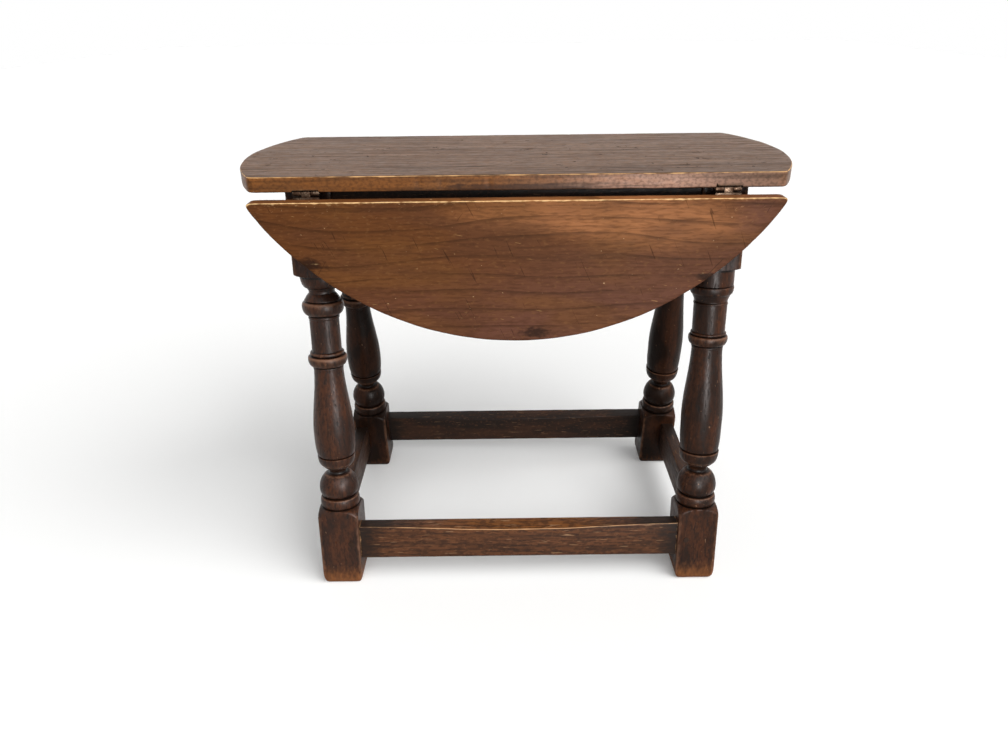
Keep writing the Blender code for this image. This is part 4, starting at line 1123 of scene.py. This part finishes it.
def studPiece(name, form, tree, spots, facings, seed, finish):
    piece = meshObject(name, spots)
    layer = piece.data.attributes.new("facing", "FLOAT_VECTOR", "POINT")
    layer.data.foreach_set("vector", np.array(facings, np.float32).ravel())
    growPiece(piece, *tree, {
        "Radius": form["radius"], "Proud": form["proud"], "Sides": form["sides"],
        "Slot width": form.get("slotWidth", 0.0), "Seed": seed, "Finish": finishes[finish][1]})
    return piece


def screwSpots(half, leaf):
    direction = -1 if leaf else 1
    for hand in hands:
        for away, side in zip(hinge["screwAway"], hinge["screwSide"]):
            spot = Vector((localSign(half, hand) * hinge["x"] + side, direction * away, pinDrop))
            yield hingeLine(half, leaf) @ spot


def screwNodes(half, kind):
    return [f"hinge_{half}_{hand}_{kind}_screw_{number}" for hand in hands for number in (1, 2)]


screwTree = studTree("slottedScrews", screw)
spots = [spot for half in halfTurns for spot in screwSpots(half, False)]
facings = [(0.0, 0.0, -1.0)] * len(spots)
topScrews = studPiece("topScrews", screw, screwTree, spots, facings, 3, "hingeIron")
settle(topScrews, "frame", "hingeIron", *screwNodes("front", "top"), *screwNodes("rear", "top"))
for half, facing, seed in (("front", (0.0, 1.0, 0.0), 10), ("rear", (0.0, -1.0, 0.0), 9)):
    spots = list(screwSpots(half, True))
    facings = [facing] * len(spots)
    leafScrews = studPiece(half + "LeafScrews", screw, screwTree, spots, facings, seed, "hingeIron")
    settle(leafScrews, half + "_leaf_body", "hingeIron", *screwNodes(half, "leaf"))
print("hinges: four, with", len(topScrews.data.polygons), "faces of screws under the top")

# Pegs are riven and slightly tapered, one through each stretcher tenon and two through each apron's
spots, facings, pegNodes = [], [], []
levels = [(railFoot + stretcher["depth"] / 2, pegForm["inset"])]
levels += [(legLength - drop, pegForm["apronInset"]) for drop in pegForm["apronLevels"]]
for half, hand in legPlaces:
    lean = leaning(half)
    sign = localSign(half, hand)
    for level, inset in levels:
        spots.append(lean @ Vector((sign * (legX - halfStock + inset), -halfStock, level)))
        facings.append(lean.to_3x3() @ Vector((0, -1, 0)))
        spots.append(lean @ Vector((sign * (legX + halfStock), halfStock - inset, level)))
        facings.append(lean.to_3x3() @ Vector((sign, 0, 0)))
    pegNodes += [f"peg_stretcher_{half}_{hand}", f"peg_stretcher_{hand}_{half}"]
pegTree = studTree("rivenPegs", pegForm)
framePegs = studPiece("framePegs", pegForm, pegTree, spots, facings, 8, "pegOak")
settle(framePegs, "frame", "pegOak", *pegNodes)
print("pegs:", len(spots))

# Studio: a pale floor that keeps the shadow, a broad light from the right, a softer one from the front,
# a little sky, and a low panel beside the camera that shows only as sheen
studio = {
    "floor": "f2f2f1", "floorBounce": "807f7d", "lift": 0.10, "sky": 0.26, "floorDrop": 0.0002,
    "key": {"strength": 2.5, "bearing": 58.0, "height": 42.0, "angle": 50.0},
    "fill": {"strength": 1.45, "bearing": 8.0, "height": 38.0, "angle": 50.0},
    "panel": {"watts": 8.0, "place": (0.26, -0.84, 0.36), "aim": (0.0, 0.0, 0.20), "size": (0.22, 0.44)},
}


def seenRays(tree):
    # 1 for rays that show a thing by itself, 0 for rays that only carry its light to others
    rays = addNode(tree, "ShaderNodeLightPath")
    seen = rays["Is Camera Ray"]
    for kind in ("Is Glossy Ray", "Is Transmission Ray"):
        seen = addNode(tree, "ShaderNodeMath", (seen, rays[kind]), operation="ADD")[0]
    return seen


floor = meshObject("floor", [(-6, -4, 0), (6, -4, 0), (6, 14, 0), (-6, 14, 0)], faces=[(0, 1, 2, 3)])
floor.location.z = -studio["floorDrop"]
paper = bpy.data.materials.new("paleStudioPaper")
paper.use_nodes = True
tree = paper.node_tree
tree.nodes.clear()
seen = seenRays(tree)
shade = addNode(tree, "ShaderNodeMix", {0: seen, 6: tint(studio["floorBounce"]), 7: tint(studio["floor"])},
                data_type="RGBA")[2]
matt = addNode(tree, "ShaderNodeBsdfDiffuse", {"Color": shade})[0]
lift = addNode(tree, "ShaderNodeMath", (seen, studio["lift"]), operation="MULTIPLY")[0]
glow = addNode(tree, "ShaderNodeEmission", {"Color": (1, 1, 1, 1), "Strength": lift})[0]
both = addNode(tree, "ShaderNodeAddShader", (matt, glow))[0]
clear = addNode(tree, "ShaderNodeBsdfTransparent")[0]
below = addNode(tree, "ShaderNodeNewGeometry")["Backfacing"]      # from below the floor isn't in the way
both = addNode(tree, "ShaderNodeMixShader", (below, both, clear))[0]
addNode(tree, "ShaderNodeOutputMaterial", {"Surface": both})
floor.data.materials.append(paper)

scene.world = bpy.data.worlds.new("softSky")
scene.world.use_nodes = True
tree = scene.world.node_tree
tree.nodes.clear()
level = addNode(tree, "ShaderNodeMapRange", (seenRays(tree), 0.0, 1.0, studio["sky"], 1.0))[0]
sky = addNode(tree, "ShaderNodeBackground", {"Color": (1, 1, 1, 1), "Strength": level})[0]
addNode(tree, "ShaderNodeOutputWorld", {"Surface": sky})

for name in ("key", "fill"):
    lamp = bpy.data.lights.new(name, "SUN")
    lamp.energy = studio[name]["strength"]
    lamp.angle = radians(studio[name]["angle"])
    light = placeObject(name, lamp)
    light.rotation_euler = (radians(90 - studio[name]["height"]), 0, radians(studio[name]["bearing"]))

lamp = bpy.data.lights.new("panel", "AREA")
lamp.shape = "RECTANGLE"
lamp.size, lamp.size_y = studio["panel"]["size"]
lamp.energy = studio["panel"]["watts"]
panel = placeObject("panel", lamp)
panel.location = studio["panel"]["place"]
panel.rotation_euler = (Vector(studio["panel"]["aim"]) - panel.location).to_track_quat("-Z", "Y").to_euler()
panel.visible_diffuse = False
panel.visible_camera = False

# Camera at the photograph's place: position, heading, fall and roll in degrees, focal length in pixels
shot = {"place": (-0.0180, -0.9297, 0.6686), "heading": 0.138, "fall": 26.197, "roll": -0.633,
        "focalPixels": 764.68, "widthPixels": 1008, "sensor": 36.0}
heading, fall, roll = (radians(shot[key]) for key in ("heading", "fall", "roll"))
ahead = Vector((sin(heading) * cos(fall), cos(heading) * cos(fall), -sin(fall)))
across = Vector((cos(heading), -sin(heading), 0))
over = across.cross(ahead)
acrossRolled = cos(roll) * across + sin(roll) * over
overRolled = -sin(roll) * across + cos(roll) * over
lens = bpy.data.cameras.new("photoLens")
lens.sensor_fit = "HORIZONTAL"
lens.sensor_width = shot["sensor"]
lens.lens = shot["focalPixels"] / shot["widthPixels"] * shot["sensor"]
camera = placeObject("camera", lens)
looking = Matrix((acrossRolled, overRolled, -ahead)).transposed()
camera.matrix_world = Matrix.Translation(shot["place"]) @ looking.to_4x4()
scene.camera = camera
scene.view_settings.view_transform = "Standard"
